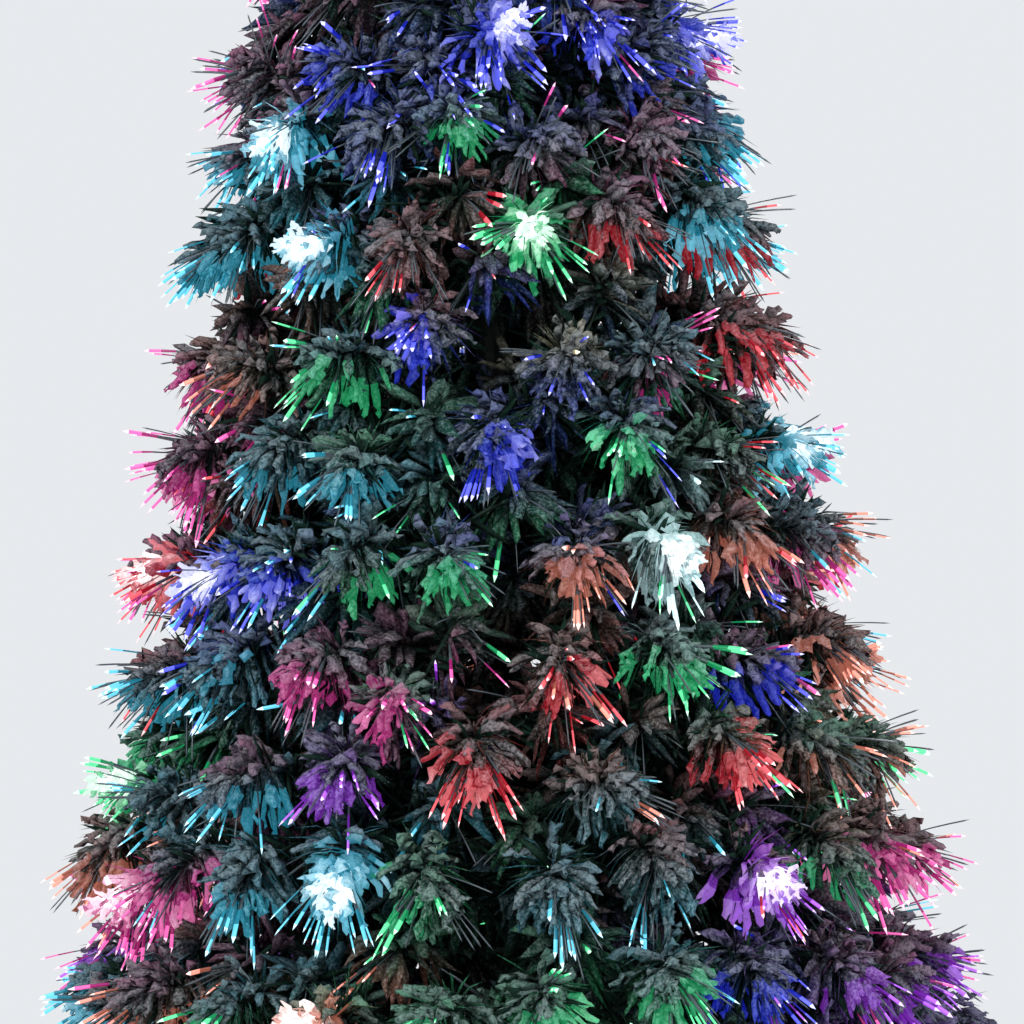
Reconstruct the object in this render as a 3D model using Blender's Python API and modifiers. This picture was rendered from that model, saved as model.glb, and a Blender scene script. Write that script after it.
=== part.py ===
"""Fibre optic Christmas tree, 1.8 m class.

A moulded base holds a light engine: a lamp board shines up through a turning colour wheel
into the polished end of a fibre bundle. The bundle runs up inside a two-piece steel pole,
whose collars carry hinged branches of wired needle tips. Metres, +Z up, floor at zero.
"""
import itertools
import math

import bmesh
import bpy
from mathutils import Matrix, Vector

# Overall outline of the tree
TREE_HEIGHT = 1.800
SKIRT_HEIGHT = 0.230
SKIRT_RADIUS = 0.382
CROWN_HEIGHT = 0.190
CROWN_RADIUS = 0.0815
CLEARANCE = 0.0003
CUT_OVERRUN = 0.0100

# Tiers of hinged branches, from the floor up
BRANCH_COUNTS = (6, 6, 5, 5, 4, 4)
TIER_TURN_SHARES = (0.50, 0.04, 0.36, 0.62, 0.10, 0.60)
LOWER_POLE_TIERS = 3
TIER_ROWS = 3
TIER_HEIGHT = (TREE_HEIGHT - CROWN_HEIGHT - SKIRT_HEIGHT) / len(BRANCH_COUNTS)
TIP_PITCH = 0.0950
STAGGER_SHARE = 0.22

# Branch wire and its hinge
HINGE_RADIUS = 0.034
HINGE_PIN_RADIUS = 0.0016
HINGE_PIN_LENGTH = 0.0120
WIRE_RADIUS = 0.0026
WIRE_SIDES = 4
WIRE_HEEL = 0.0030
WIRE_REACH_SHARE = 0.62
LOWEST_BRANCH_RISE = math.radians(14)
RISE_PER_TIER = math.radians(4)

# Needle tip: a fluted cone that opens from its twig into a star of needle points
TUFT_GAP = 0.0018
TUFT_RADIUS = min(TIP_PITCH, TIER_HEIGHT / TIER_ROWS) / 2 - TUFT_GAP
TUFT_VALLEY_SHARE = 0.56
TUFT_VALLEY_DEPTH = 0.016
FIRST_TWIG = 0.012
FIRST_TWIG_SHARE = 0.25
LAST_TWIG = 0.006
FIBRE_SPIKE = 0.020
LAMP_RADIUS = 0.0055
LAMP_LENGTH = 0.024
LAMP_DOME = 0.004
LAMP_SIDES = 6
# Which tips of each branch hold a lamp, counted from the first
LAMP_TIPS = (
    ((4,), (8,), (3,), (4,), (8,), (3,)),
    ((6,), (1,), (8,), (3, 5), (2,), (2,)),
    ((5,), (8,), (3,), (0,), (1, 6)),
    ((4,), (1,), (5,), (0, 2, 8), (8,)),
    ((7,), (7,), (1,), (5,)),
    ((1,), (4,), (4,), (5,)),
)
TWIG_LENGTH = 0.0050
FACING_SHARE = 0.45

# Steel pole in two lengths, the upper one swaged to plug into the lower
POLE_RADIUS = 0.0160
POLE_WALL = 0.0012
POLE_JOINT_HEIGHT = 0.900
SWAGE_LENGTH = 0.060
POLE_DROP = 0.010
POLE_TOP = TREE_HEIGHT - CROWN_HEIGHT - POLE_DROP
POLE_SIDES = 16
FIBRE_PORT_WIDTH = 0.008
FIBRE_PORT_HEIGHT = 0.016
FIBRE_PORT_RISE = 0.010

# Collar that carries one tier: a dished hub with a pair of ears for each hinge
HUB_WALL = 0.0040
HUB_HEIGHT = 0.016
HUB_DEPTH = 0.0046
HUB_FLOOR = 0.0022
HUB_RIM_WALL = 0.0024
HUB_RIM_RADIUS = 0.047
HUB_SIDES = 12
EAR_WALL = 0.0020
EAR_GAP = 0.0062
EAR_REACH = 0.0060
EAR_HEIGHT = 0.0050
EAR_HOLE_SIDES = 6

# Fibre bundles and the ferrule that binds their lower ends
BUNDLE_RADIUS = 0.0132
INNER_BUNDLE_RADIUS = 0.0079
FERRULE_WALL = 0.0010
BUNDLE_SIDES = 16

# Moulded base
BASE_RADIUS = 0.140
BASE_HEIGHT = 0.120
BASE_WALL = 0.0026
BASE_RIM_HEIGHT = 0.046
BASE_SHOULDER_RADIUS = 0.062
BASE_CROWN_DROP = 0.006
BASE_SIDES = 36
VENT_COUNT = 12
VENT_WIDTH = 0.0030
VENT_INNER_RADIUS = 0.082
VENT_LENGTH = 0.026
PLATE_THICKNESS = 0.0030
FOOT_HEIGHT = 0.0060
FOOT_RADIUS = 0.0120
FOOT_CIRCLE_RADIUS = 0.112
FOOT_COUNT = 4
FOOT_SIDES = 10

# Socket that holds the pole in the base
SOCKET_WALL = 0.0070
SOCKET_TOP = 0.176
SOCKET_FLANGE_WIDTH = 0.012
SOCKET_FLANGE_THICKNESS = 0.0040
SOCKET_LEDGE_HEIGHT = 0.0045
SOCKET_BOTTOM = 0.0860
SOCKET_SIDES = 18
SCREW_HEIGHT = 0.152
SCREW_RADIUS = 0.0030
SCREW_KNOB_RADIUS = 0.0105
SCREW_KNOB_LENGTH = 0.0110
SCREW_NECK = 0.0040
SCREW_LOBES = 6
SCREW_SIDES = 18
SCREW_LOBE_RADIUS = 0.0030
SCREW_LOBE_SIDES = 8

# Light engine on the base plate
HEAT_SINK_SIDE = 0.044
HEAT_SINK_BED = 0.0030
HEAT_SINK_FIN = 0.0014
HEAT_SINK_FIN_HEIGHT = 0.0140
HEAT_SINK_FINS = 8
BOARD_SIDE = 0.036
BOARD_THICKNESS = 0.0016
EMITTER_RADIUS = 0.0045
EMITTER_HEIGHT = 0.0022
EMITTER_TAPER_SHARE = 0.80
EMITTER_SIDES = 12
LENS_FOOT_RADIUS = 0.0085
LENS_TOP_RADIUS = 0.0155
LENS_HEIGHT = 0.0150
LENS_CROWN = 0.0030
LENS_CROWN_SHARES = (0.55, 0.72)
LENS_SHOULDER_SHARE = 0.90
LENS_SIDES = 14
WHEEL_OFFSET = 0.044
WHEEL_RADIUS = 0.064
WHEEL_THICKNESS = 0.0016
WHEEL_BOSS_RADIUS = 0.0065
WHEEL_BOSS_HEIGHT = 0.0060
WHEEL_GAP = 0.0040
WHEEL_SIDES = 26
SHAFT_RADIUS = 0.0025
SHAFT_SIDES = 12
MOTOR_RADIUS = 0.0185
MOTOR_HEIGHT = 0.0160
MOTOR_NOSE_RADIUS = 0.0050
MOTOR_NOSE_HEIGHT = 0.0030
MOTOR_SIDES = 18
BRACKET_SHEET = 0.0012
BRACKET_WIDTH = 0.030
BRACKET_FLANGE = 0.010
BRACKET_TOP_WIDTH = 0.040

# Rocker switch and low-voltage inlet in the back of the base
SWITCH_WIDTH = 0.0210
SWITCH_HEIGHT = 0.0140
SWITCH_DEPTH = 0.0150
SWITCH_BEZEL = 0.0020
SWITCH_BEZEL_THICKNESS = 0.0018
SWITCH_WALL = 0.0012
SWITCH_POCKET_DEPTH = 0.0075
SWITCH_PLACE = 0.030
ROCKER_TILT = math.radians(7)
ROCKER_HALF_LENGTH = 0.0086
ROCKER_TIP_HEIGHT = 0.0030
ROCKER_DIP_HEIGHT = 0.0014
ROCKER_BELLY = 0.0036
ROCKER_FLANK_SHARE = 0.96
ROCKER_KNEE_SHARES = (0.60, 0.75)
INLET_BARREL_RADIUS = 0.0060
INLET_FLANGE_RADIUS = 0.0090
INLET_FLANGE_THICKNESS = 0.0020
INLET_DEPTH = 0.0140
INLET_BORE_RADIUS = 0.0028
INLET_BORE_DEPTH = 0.0100
INLET_PIN_RADIUS = 0.0010
INLET_PIN_LENGTH = 0.0090
INLET_PLACE = 0.030
INLET_SIDES = 14
PANEL_HEIGHT = 0.0275

# Crown: the top tips wound straight onto a leader that plugs into the pole
CROWN_PLUG_LENGTH = 0.030
LEADER_RADIUS = 0.0040
CROWN_PLUG_HEAD = 0.006
CROWN_ROW_SHARES = ((0.16, 0.95, 0.40), (0.46, 0.80, 0.80))
CROWN_SPIRE_LENGTH = 0.090

MERGE = 0.00001
ROUND = 2 * math.pi


def clear_scene():
    """Remove every object that the file opened with."""
    for item in list(bpy.data.objects):
        bpy.data.objects.remove(item)


def make_collection(name):
    """Return a new collection linked to the scene."""
    group = bpy.data.collections.new(name)
    bpy.context.scene.collection.children.link(group)
    return group


def make_material(name, colour, roughness, metallic=0.0):
    """Return a Principled material of one colour."""
    finish = bpy.data.materials.new(name)
    finish.use_nodes = True
    shader = finish.node_tree.nodes["Principled BSDF"]
    shader.inputs["Base Color"].default_value = (*colour, 1.0)
    shader.inputs["Roughness"].default_value = roughness
    shader.inputs["Metallic"].default_value = metallic
    finish.diffuse_color = (*colour, 1.0)
    return finish


clear_scene()
parts = make_collection("fibre_optic_christmas_tree")
cutters = make_collection("cutters")

NEEDLES = make_material("flocked_needles", (0.10, 0.20, 0.14), 0.85)
STEEL = make_material("painted_steel", (0.04, 0.09, 0.05), 0.45, 0.2)
HUB_PLASTIC = make_material("hub_plastic", (0.03, 0.07, 0.04), 0.5)
BASE_PLASTIC = make_material("base_plastic", (0.02, 0.02, 0.022), 0.42)
FIBRE = make_material("fibre_bundle", (0.75, 0.78, 0.80), 0.25)
METAL = make_material("aluminium", (0.70, 0.71, 0.72), 0.35, 1.0)
BOARD = make_material("lamp_board", (0.85, 0.86, 0.84), 0.5)
CLEAR = make_material("lens_acrylic", (0.85, 0.90, 0.95), 0.08)
GEL = make_material("colour_gels", (0.65, 0.20, 0.55), 0.2)
SWITCH_BLACK = make_material("switch_rocker", (0.06, 0.06, 0.065), 0.35)


def add_object(name, mesh, finish, group=None):
    """Put a mesh in the scene as a named object."""
    item = bpy.data.objects.new(name, mesh)
    if finish:
        mesh.materials.clear()
        mesh.materials.append(finish)
    (group or parts).objects.link(item)
    return item


def finish_mesh(name, shape):
    """Turn a bmesh into a mesh datablock."""
    mesh = bpy.data.meshes.new(name)
    shape.to_mesh(mesh)
    shape.free()
    return mesh


def as_cutter(item):
    """Mark an object as a tool of the modelling, not a piece."""
    item.hide_render = True
    item.display_type = "WIRE"
    return item


def combine(item, other, operation):
    """Join or cut an object with another by an exact Boolean."""
    step = item.modifiers.new(operation.lower(), "BOOLEAN")
    step.object = other
    step.operation = operation
    step.solver = "EXACT"


def turned(name, profile, sides, finish):
    """Spin a profile of (radius, height) points round Z; an open one starts and ends on the axis."""
    mesh = bpy.data.meshes.new(name)
    count = len(profile)
    edges = [(i, i + 1) for i in range(count - 1)]
    if profile[0][0] > 0:
        edges.append((count - 1, 0))
    mesh.from_pydata([(radius, 0, height) for radius, height in profile], edges, [])
    item = add_object(name, mesh, finish)
    spin = item.modifiers.new("turn", "SCREW")
    spin.axis = "Z"
    spin.angle = ROUND
    spin.steps = sides
    spin.render_steps = sides
    spin.use_merge_vertices = True
    spin.merge_threshold = MERGE
    spin.use_smooth_shade = True
    return item


def sleeve(name, outer, inner, bottom, top, sides, finish):
    """A plain tube between two heights."""
    profile = [(outer, top), (outer, bottom), (inner, bottom), (inner, top)]
    return turned(name, profile, sides, finish)


def extruded(name, outline, depth, finish):
    """A flat outline in X and Y, filled and given a thickness of depth about Z."""
    curve = bpy.data.curves.new(name, "CURVE")
    curve.dimensions = "2D"
    curve.fill_mode = "BOTH"
    curve.extrude = depth / 2
    line = curve.splines.new("POLY")
    line.points.add(len(outline) - 1)
    for point, (x, y) in zip(line.points, outline):
        point.co = (x, y, 0, 1)
    line.use_cyclic_u = True
    item = bpy.data.objects.new(name, curve)
    curve.materials.append(finish)
    parts.objects.link(item)
    return item


def add_box(shape, low, high):
    """Add a box between two corners to a bmesh."""
    low, high = Vector(low), Vector(high)
    size = Matrix.Diagonal((*(high - low), 1))
    bmesh.ops.create_cube(shape, size=1, matrix=Matrix.Translation((low + high) / 2) @ size)


def add_rod(shape, start, end, radius, sides, end_radius=None):
    """Add a capped rod or cone between two points to a bmesh, and return its vertices."""
    axis = end - start
    turn = axis.to_track_quat("Z", "Y").to_matrix().to_4x4()
    made = bmesh.ops.create_cone(
        shape,
        cap_ends=True,
        segments=sides,
        radius1=radius,
        radius2=radius if end_radius is None else end_radius,
        depth=axis.length,
        matrix=Matrix.Translation((start + end) / 2) @ turn,
    )
    return made["verts"]


def front_face(verts, toward):
    """The cap among some vertices' faces that looks most along a direction."""
    faces = {face for vert in verts for face in vert.link_faces}
    return max(faces, key=lambda face: face.calc_center_median().dot(toward))


def bore_round(radius, sides):
    """Corner radius of a faceted bore whose flats clear a round of the given radius."""
    return (radius + CLEARANCE) / math.cos(math.pi / sides)


def envelope(height):
    """Radius of the needle tips' outline at a height."""
    fall = (SKIRT_RADIUS - CROWN_RADIUS) / (TREE_HEIGHT - CROWN_HEIGHT - SKIRT_HEIGHT)
    return SKIRT_RADIUS - fall * (height - SKIRT_HEIGHT)


def tier_rise(tier):
    """Slope of a tier's branches: steeper towards the top."""
    return LOWEST_BRANCH_RISE + RISE_PER_TIER * tier


def wire_reach(tier):
    """Horizontal length of a tier's main wires from the hinge."""
    middle = SKIRT_HEIGHT + TIER_HEIGHT * (tier + 0.5)
    return (envelope(middle) - HINGE_RADIUS) * WIRE_REACH_SHARE


def hinge_height(tier):
    """Height of a tier's hinges, so that its wires end in the middle of its band."""
    middle = SKIRT_HEIGHT + TIER_HEIGHT * (tier + 0.5)
    return middle - wire_reach(tier) * math.tan(tier_rise(tier))


def branch_azimuth(tier, index):
    """Direction in which a branch points."""
    return (index + TIER_TURN_SHARES[tier]) * ROUND / BRANCH_COUNTS[tier]


def tip_places(tier):
    """Ends of a branch's tips, from its hinge, with the branch along X: rows over its own sector."""
    places = []
    sector = ROUND / BRANCH_COUNTS[tier]
    for row in range(TIER_ROWS):
        height = SKIRT_HEIGHT + TIER_HEIGHT * (tier + (row + 0.5) / TIER_ROWS)
        reach = envelope(height)
        columns = max(1, round(reach * sector / TIP_PITCH))
        step = sector / columns
        shift = STAGGER_SHARE * step * (1 if row % 2 else -1)
        for column in range(columns):
            swing = (column - (columns - 1) / 2) * step + shift
            along = reach * math.cos(swing) - HINGE_RADIUS
            places.append(Vector((along, reach * math.sin(swing), height - hinge_height(tier))))
    return places


def grow_tuft(shape, face, end, bulbs=None):
    """Draw a needle tip out of a face of its wire: a fluted cone, star-ended, with fibres or a lamp."""
    root = face.calc_center_median()
    way = (end - root).normalized()
    brim = end - way * (FIBRE_SPIKE if bulbs is None else LAMP_LENGTH)
    turn = face.normal.rotation_difference(way)
    cap = bmesh.ops.extrude_discrete_faces(shape, faces=[face])["faces"][0]
    for vert in cap.verts:
        spoke = turn @ (vert.co - root)
        vert.co = brim + spoke.normalized() * TUFT_RADIUS
    split = bmesh.ops.subdivide_edges(shape, edges=list(cap.edges), cuts=1)
    valleys = [item for item in split["geom_inner"] if isinstance(item, bmesh.types.BMVert)]
    cap = front_face(valleys, way)
    for vert in valleys:
        spoke = (vert.co - brim).normalized()
        vert.co = brim + spoke * TUFT_RADIUS * TUFT_VALLEY_SHARE - way * TUFT_VALLEY_DEPTH
    heart = bmesh.ops.poke(shape, faces=[cap])["verts"][0]
    heart.co = end if bulbs is None else brim
    if bulbs is not None:
        bulb = add_rod(bulbs, brim - way * LAMP_DOME, end - way * LAMP_DOME, LAMP_RADIUS, LAMP_SIDES)
        dome = bmesh.ops.poke(bulbs, faces=[front_face(bulb, way)])
        dome["verts"][0].co = end


def station_faces(shape, centre, way):
    """The four side faces of a wire round a station between its two rings."""
    near = [face for face in shape.faces if abs(face.normal.dot(way)) < FACING_SHARE]
    reach = TWIG_LENGTH * FACING_SHARE
    return [face for face in near if abs((face.calc_center_median() - centre).dot(way)) < reach]


def grow_stations(shape, foot, way, stations, groups, lamp_ends, bulbs):
    """Cut rings in a wire at its stations, then draw each group of tips out of the faces there."""
    for along in stations:
        for side in (-1, 1):
            ring = foot + way * (along + side * TWIG_LENGTH / 2)
            geometry = shape.verts[:] + shape.edges[:] + shape.faces[:]
            bmesh.ops.bisect_plane(shape, geom=geometry, plane_co=ring, plane_no=way, dist=MERGE)
    for along, ends in zip(stations, groups):
        centre = foot + way * along
        faces = station_faces(shape, centre, way)
        if along == stations[-1] and len(ends) > len(faces):
            faces.append(max(shape.faces, key=lambda face: face.calc_center_median().dot(way)))

        def fit(order):
            """How well an order of tips suits the faces that they grow from."""
            return sum(
                face.normal.dot((end - face.calc_center_median()).normalized())
                for face, end in zip(order, ends)
            )

        best = max(itertools.permutations(faces, len(ends)), key=fit)
        for face, end in zip(best, ends):
            grow_tuft(shape, face, end, bulbs if end in lamp_ends else None)


def union_mesh(name, base, extra, finish):
    """Join two shapes that cross into one closed mesh."""
    first = add_object(name + "_first", finish_mesh(name + "_first", base), finish, cutters)
    second = as_cutter(add_object(name + "_second", finish_mesh(name + "_second", extra), finish, cutters))
    combine(first, second, "UNION")
    bpy.context.view_layer.update()
    solved = first.evaluated_get(bpy.context.evaluated_depsgraph_get())
    mesh = bpy.data.meshes.new_from_object(solved)
    mesh.name = name
    bpy.data.objects.remove(first)
    bpy.data.objects.remove(second)
    return mesh


def make_branch(tier, index):
    """One hinged branch: cross pin, main wire and its fan of needle tips."""
    name = f"branch_{tier + 1}_{index + 1}"
    extra = bmesh.new()
    half_pin = Vector((0, HINGE_PIN_LENGTH / 2, 0))
    add_rod(extra, -half_pin, half_pin, HINGE_PIN_RADIUS, EAR_HOLE_SIDES)
    slope = tier_rise(tier)
    way = Vector((math.cos(slope), 0, math.sin(slope)))
    length = wire_reach(tier) / math.cos(slope)
    wire = bmesh.new()
    add_rod(wire, -way * WIRE_HEEL, way * length, WIRE_RADIUS, WIRE_SIDES)
    ends = tip_places(tier)
    lamp_ends = [ends[number % len(ends)] for number in LAMP_TIPS[tier][index]]
    ends.sort(key=lambda end: -abs(end.y))
    count = max(2, math.ceil((len(ends) - 1) / WIRE_SIDES))
    groups = [ends[number * WIRE_SIDES:(number + 1) * WIRE_SIDES] for number in range(count)]
    groups[-1] += ends[count * WIRE_SIDES:]
    first = FIRST_TWIG + (length - FIRST_TWIG) * FIRST_TWIG_SHARE
    last = length - LAST_TWIG
    stations = [first + (last - first) * number / (count - 1) for number in range(count)]
    grow_stations(wire, Vector((0, 0, 0)), way, stations, groups, lamp_ends, extra)
    branch = add_object(name, union_mesh(name, wire, extra, NEEDLES), None)
    turn = branch_azimuth(tier, index)
    branch.location = (HINGE_RADIUS * math.cos(turn), HINGE_RADIUS * math.sin(turn), hinge_height(tier))
    branch.rotation_euler = (0, 0, turn)


def make_hub(tier):
    """A dished collar on the pole, with two ears for each branch pin and a rim the wires rest on."""
    bore = bore_round(POLE_RADIUS, HUB_SIDES)
    collar = bore + HUB_WALL
    bed = -HUB_DEPTH
    slope = tier_rise(tier)
    rest = (HUB_RIM_RADIUS - HUB_RIM_WALL) * math.cos(math.pi / HUB_SIDES) - HINGE_RADIUS
    rim_top = rest * math.tan(slope) - WIRE_RADIUS / math.cos(slope) - CLEARANCE
    top = HUB_HEIGHT - HUB_DEPTH
    profile = [
        (collar, top),
        (collar, bed),
        (HUB_RIM_RADIUS - HUB_RIM_WALL, bed),
        (HUB_RIM_RADIUS - HUB_RIM_WALL, rim_top),
        (HUB_RIM_RADIUS, rim_top),
        (HUB_RIM_RADIUS, bed - HUB_FLOOR),
        (bore, bed - HUB_FLOOR),
        (bore, top),
    ]
    hub = turned(f"hub_{tier + 1}", profile, HUB_SIDES, HUB_PLASTIC)
    ears = bmesh.new()
    holes = bmesh.new()
    for index in range(BRANCH_COUNTS[tier]):
        turn = Matrix.Rotation(branch_azimuth(tier, index), 4, "Z")
        for side in (-1, 1):
            near = side * EAR_GAP / 2
            far = side * (EAR_GAP / 2 + EAR_WALL)
            before = len(ears.verts)
            low = (collar - HUB_WALL / 2, min(near, far), bed - HUB_FLOOR / 2)
            add_box(ears, low, (HINGE_RADIUS + EAR_REACH, max(near, far), EAR_HEIGHT))
            ears.verts.ensure_lookup_table()
            bmesh.ops.transform(ears, matrix=turn, verts=ears.verts[before:])
        half = Vector((0, EAR_GAP / 2 + EAR_WALL + EAR_REACH, 0))
        middle = Vector((HINGE_RADIUS, 0, 0))
        hole_radius = bore_round(HINGE_PIN_RADIUS, EAR_HOLE_SIDES)
        hole = add_rod(holes, middle - half, middle + half, hole_radius, EAR_HOLE_SIDES)
        bmesh.ops.transform(holes, matrix=turn, verts=hole)
    ear_set = as_cutter(add_object(hub.name + "_ears", finish_mesh("ears", ears), HUB_PLASTIC, cutters))
    hole_set = as_cutter(add_object(hub.name + "_holes", finish_mesh("holes", holes), HUB_PLASTIC, cutters))
    combine(hub, ear_set, "UNION")
    combine(hub, hole_set, "DIFFERENCE")
    for item in (hub, ear_set, hole_set):
        item.location.z = hinge_height(tier)


def make_poles():
    """Lower and upper pole, with ports above each hub where the fibres come out."""
    bore = POLE_RADIUS - POLE_WALL
    seat = SOCKET_BOTTOM + SOCKET_LEDGE_HEIGHT + CLEARANCE
    lower = sleeve("lower_pole", POLE_RADIUS, bore, seat, POLE_JOINT_HEIGHT, POLE_SIDES, STEEL)
    neck = bore - CLEARANCE
    step = POLE_JOINT_HEIGHT + CLEARANCE
    profile = [
        (POLE_RADIUS, POLE_TOP),
        (POLE_RADIUS, step),
        (neck, step),
        (neck, step - SWAGE_LENGTH),
        (neck - POLE_WALL, step - SWAGE_LENGTH),
        (neck - POLE_WALL, step),
        (bore, step + POLE_WALL),
        (bore, POLE_TOP),
    ]
    upper = turned("upper_pole", profile, POLE_SIDES, STEEL)
    for pole, tiers in ((lower, range(LOWER_POLE_TIERS)), (upper, range(LOWER_POLE_TIERS, len(BRANCH_COUNTS)))):
        ports = bmesh.new()
        for tier in tiers:
            foot = hinge_height(tier) + HUB_HEIGHT - HUB_DEPTH + FIBRE_PORT_RISE
            reach = POLE_RADIUS + CUT_OVERRUN
            half = FIBRE_PORT_WIDTH / 2
            add_box(ports, (-reach, -half, foot), (reach, half, foot + FIBRE_PORT_HEIGHT))
        port_set = add_object(pole.name + "_ports", finish_mesh("ports", ports), STEEL, cutters)
        combine(pole, as_cutter(port_set), "DIFFERENCE")


def make_fibres():
    """Outer and inner fibre bundles and the ferrule round their polished lower ends."""
    end = ferrule_bottom()
    top = POLE_JOINT_HEIGHT - SWAGE_LENGTH - CLEARANCE
    inner = INNER_BUNDLE_RADIUS + CLEARANCE
    sleeve("lower_fibre_bundle", BUNDLE_RADIUS, inner, end, top, BUNDLE_SIDES, FIBRE)
    tip = POLE_TOP - CROWN_PLUG_LENGTH - CLEARANCE
    profile = [(0, tip), (INNER_BUNDLE_RADIUS, tip), (INNER_BUNDLE_RADIUS, end), (0, end)]
    turned("upper_fibre_bundle", profile, BUNDLE_SIDES, FIBRE)
    bore = BUNDLE_RADIUS + CLEARANCE
    rim = SOCKET_BOTTOM + SOCKET_LEDGE_HEIGHT
    sleeve("fibre_ferrule", bore + FERRULE_WALL, bore, end, rim, BUNDLE_SIDES, METAL)


def socket_radius():
    """Outer radius of the sleeve round the pole."""
    return bore_round(POLE_RADIUS, SOCKET_SIDES) + SOCKET_WALL


def floor_of_engine():
    """Top of the base plate, where the light engine stands."""
    return FOOT_HEIGHT + PLATE_THICKNESS + CLEARANCE


def board_bottom():
    """Underside of the lamp board on its heat sink."""
    return floor_of_engine() + HEAT_SINK_BED + HEAT_SINK_FIN_HEIGHT + CLEARANCE


def lens_bottom():
    """Foot of the lens, just over the emitter."""
    return board_bottom() + BOARD_THICKNESS + CLEARANCE


def wheel_bottom():
    """Underside of the colour wheel."""
    return lens_bottom() + EMITTER_HEIGHT + LENS_HEIGHT + LENS_CROWN + WHEEL_GAP


def ferrule_bottom():
    """Polished end of the fibres, above the colour wheel."""
    return wheel_bottom() + WHEEL_THICKNESS + WHEEL_GAP


def make_base():
    """Turned housing with vents and panel holes, and its plate with moulded feet."""
    foot = FOOT_HEIGHT
    hole = bore_round(socket_radius(), BASE_SIDES)
    brow = BASE_HEIGHT - BASE_CROWN_DROP
    slope = math.atan2(brow - BASE_RIM_HEIGHT, BASE_RADIUS - BASE_SHOULDER_RADIUS)
    ease = BASE_WALL * math.tan(slope / 2)
    inner_radius = BASE_RADIUS - BASE_WALL
    inner_rim = BASE_RIM_HEIGHT - ease
    profile = [
        (hole, BASE_HEIGHT),
        (BASE_SHOULDER_RADIUS - BASE_CROWN_DROP, BASE_HEIGHT),
        (BASE_SHOULDER_RADIUS, brow),
        (BASE_RADIUS, BASE_RIM_HEIGHT),
        (BASE_RADIUS, foot),
        (inner_radius, foot),
        (inner_radius, inner_rim),
        (BASE_SHOULDER_RADIUS - ease, brow - BASE_WALL),
        (hole, BASE_HEIGHT - BASE_WALL),
    ]
    shell = turned("base_shell", profile, BASE_SIDES, BASE_PLASTIC)
    slots = bmesh.new()
    for number in range(VENT_COUNT):
        turn = Matrix.Rotation((number + 0.5) * ROUND / VENT_COUNT, 4, "Z")
        before = len(slots.verts)
        low = (VENT_INNER_RADIUS, -VENT_WIDTH / 2, BASE_RIM_HEIGHT)
        high = (VENT_INNER_RADIUS + VENT_LENGTH, VENT_WIDTH / 2, BASE_HEIGHT)
        add_box(slots, low, high)
        slots.verts.ensure_lookup_table()
        bmesh.ops.transform(slots, matrix=turn, verts=slots.verts[before:])
    half_width = SWITCH_WIDTH / 2 + CLEARANCE
    half_height = SWITCH_HEIGHT / 2 + CLEARANCE
    panel_low = inner_radius - CUT_OVERRUN
    panel_high = BASE_RADIUS + CUT_OVERRUN
    add_box(
        slots,
        (SWITCH_PLACE - half_width, panel_low, PANEL_HEIGHT - half_height),
        (SWITCH_PLACE + half_width, panel_high, PANEL_HEIGHT + half_height),
    )
    start = Vector((-INLET_PLACE, panel_low, PANEL_HEIGHT))
    end = Vector((-INLET_PLACE, panel_high, PANEL_HEIGHT))
    add_rod(slots, start, end, bore_round(INLET_BARREL_RADIUS, INLET_SIDES), INLET_SIDES)
    slot_set = as_cutter(add_object("base_cuts", finish_mesh("base_cuts", slots), BASE_PLASTIC, cutters))
    combine(shell, slot_set, "DIFFERENCE")

    rim = inner_radius - CLEARANCE
    top = foot + PLATE_THICKNESS
    plate = turned("base_plate", [(0, top), (rim, top), (rim, foot), (0, foot)], BASE_SIDES, BASE_PLASTIC)
    pads = bmesh.new()
    for number in range(FOOT_COUNT):
        turn = (number + 0.5) * ROUND / FOOT_COUNT
        spot = Vector((FOOT_CIRCLE_RADIUS * math.cos(turn), FOOT_CIRCLE_RADIUS * math.sin(turn), 0))
        rise = Vector((0, 0, foot + PLATE_THICKNESS / 2))
        add_rod(pads, spot, spot + rise, FOOT_RADIUS, FOOT_SIDES)
    pad_set = as_cutter(add_object("base_feet", finish_mesh("base_feet", pads), BASE_PLASTIC, cutters))
    combine(plate, pad_set, "UNION")


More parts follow.
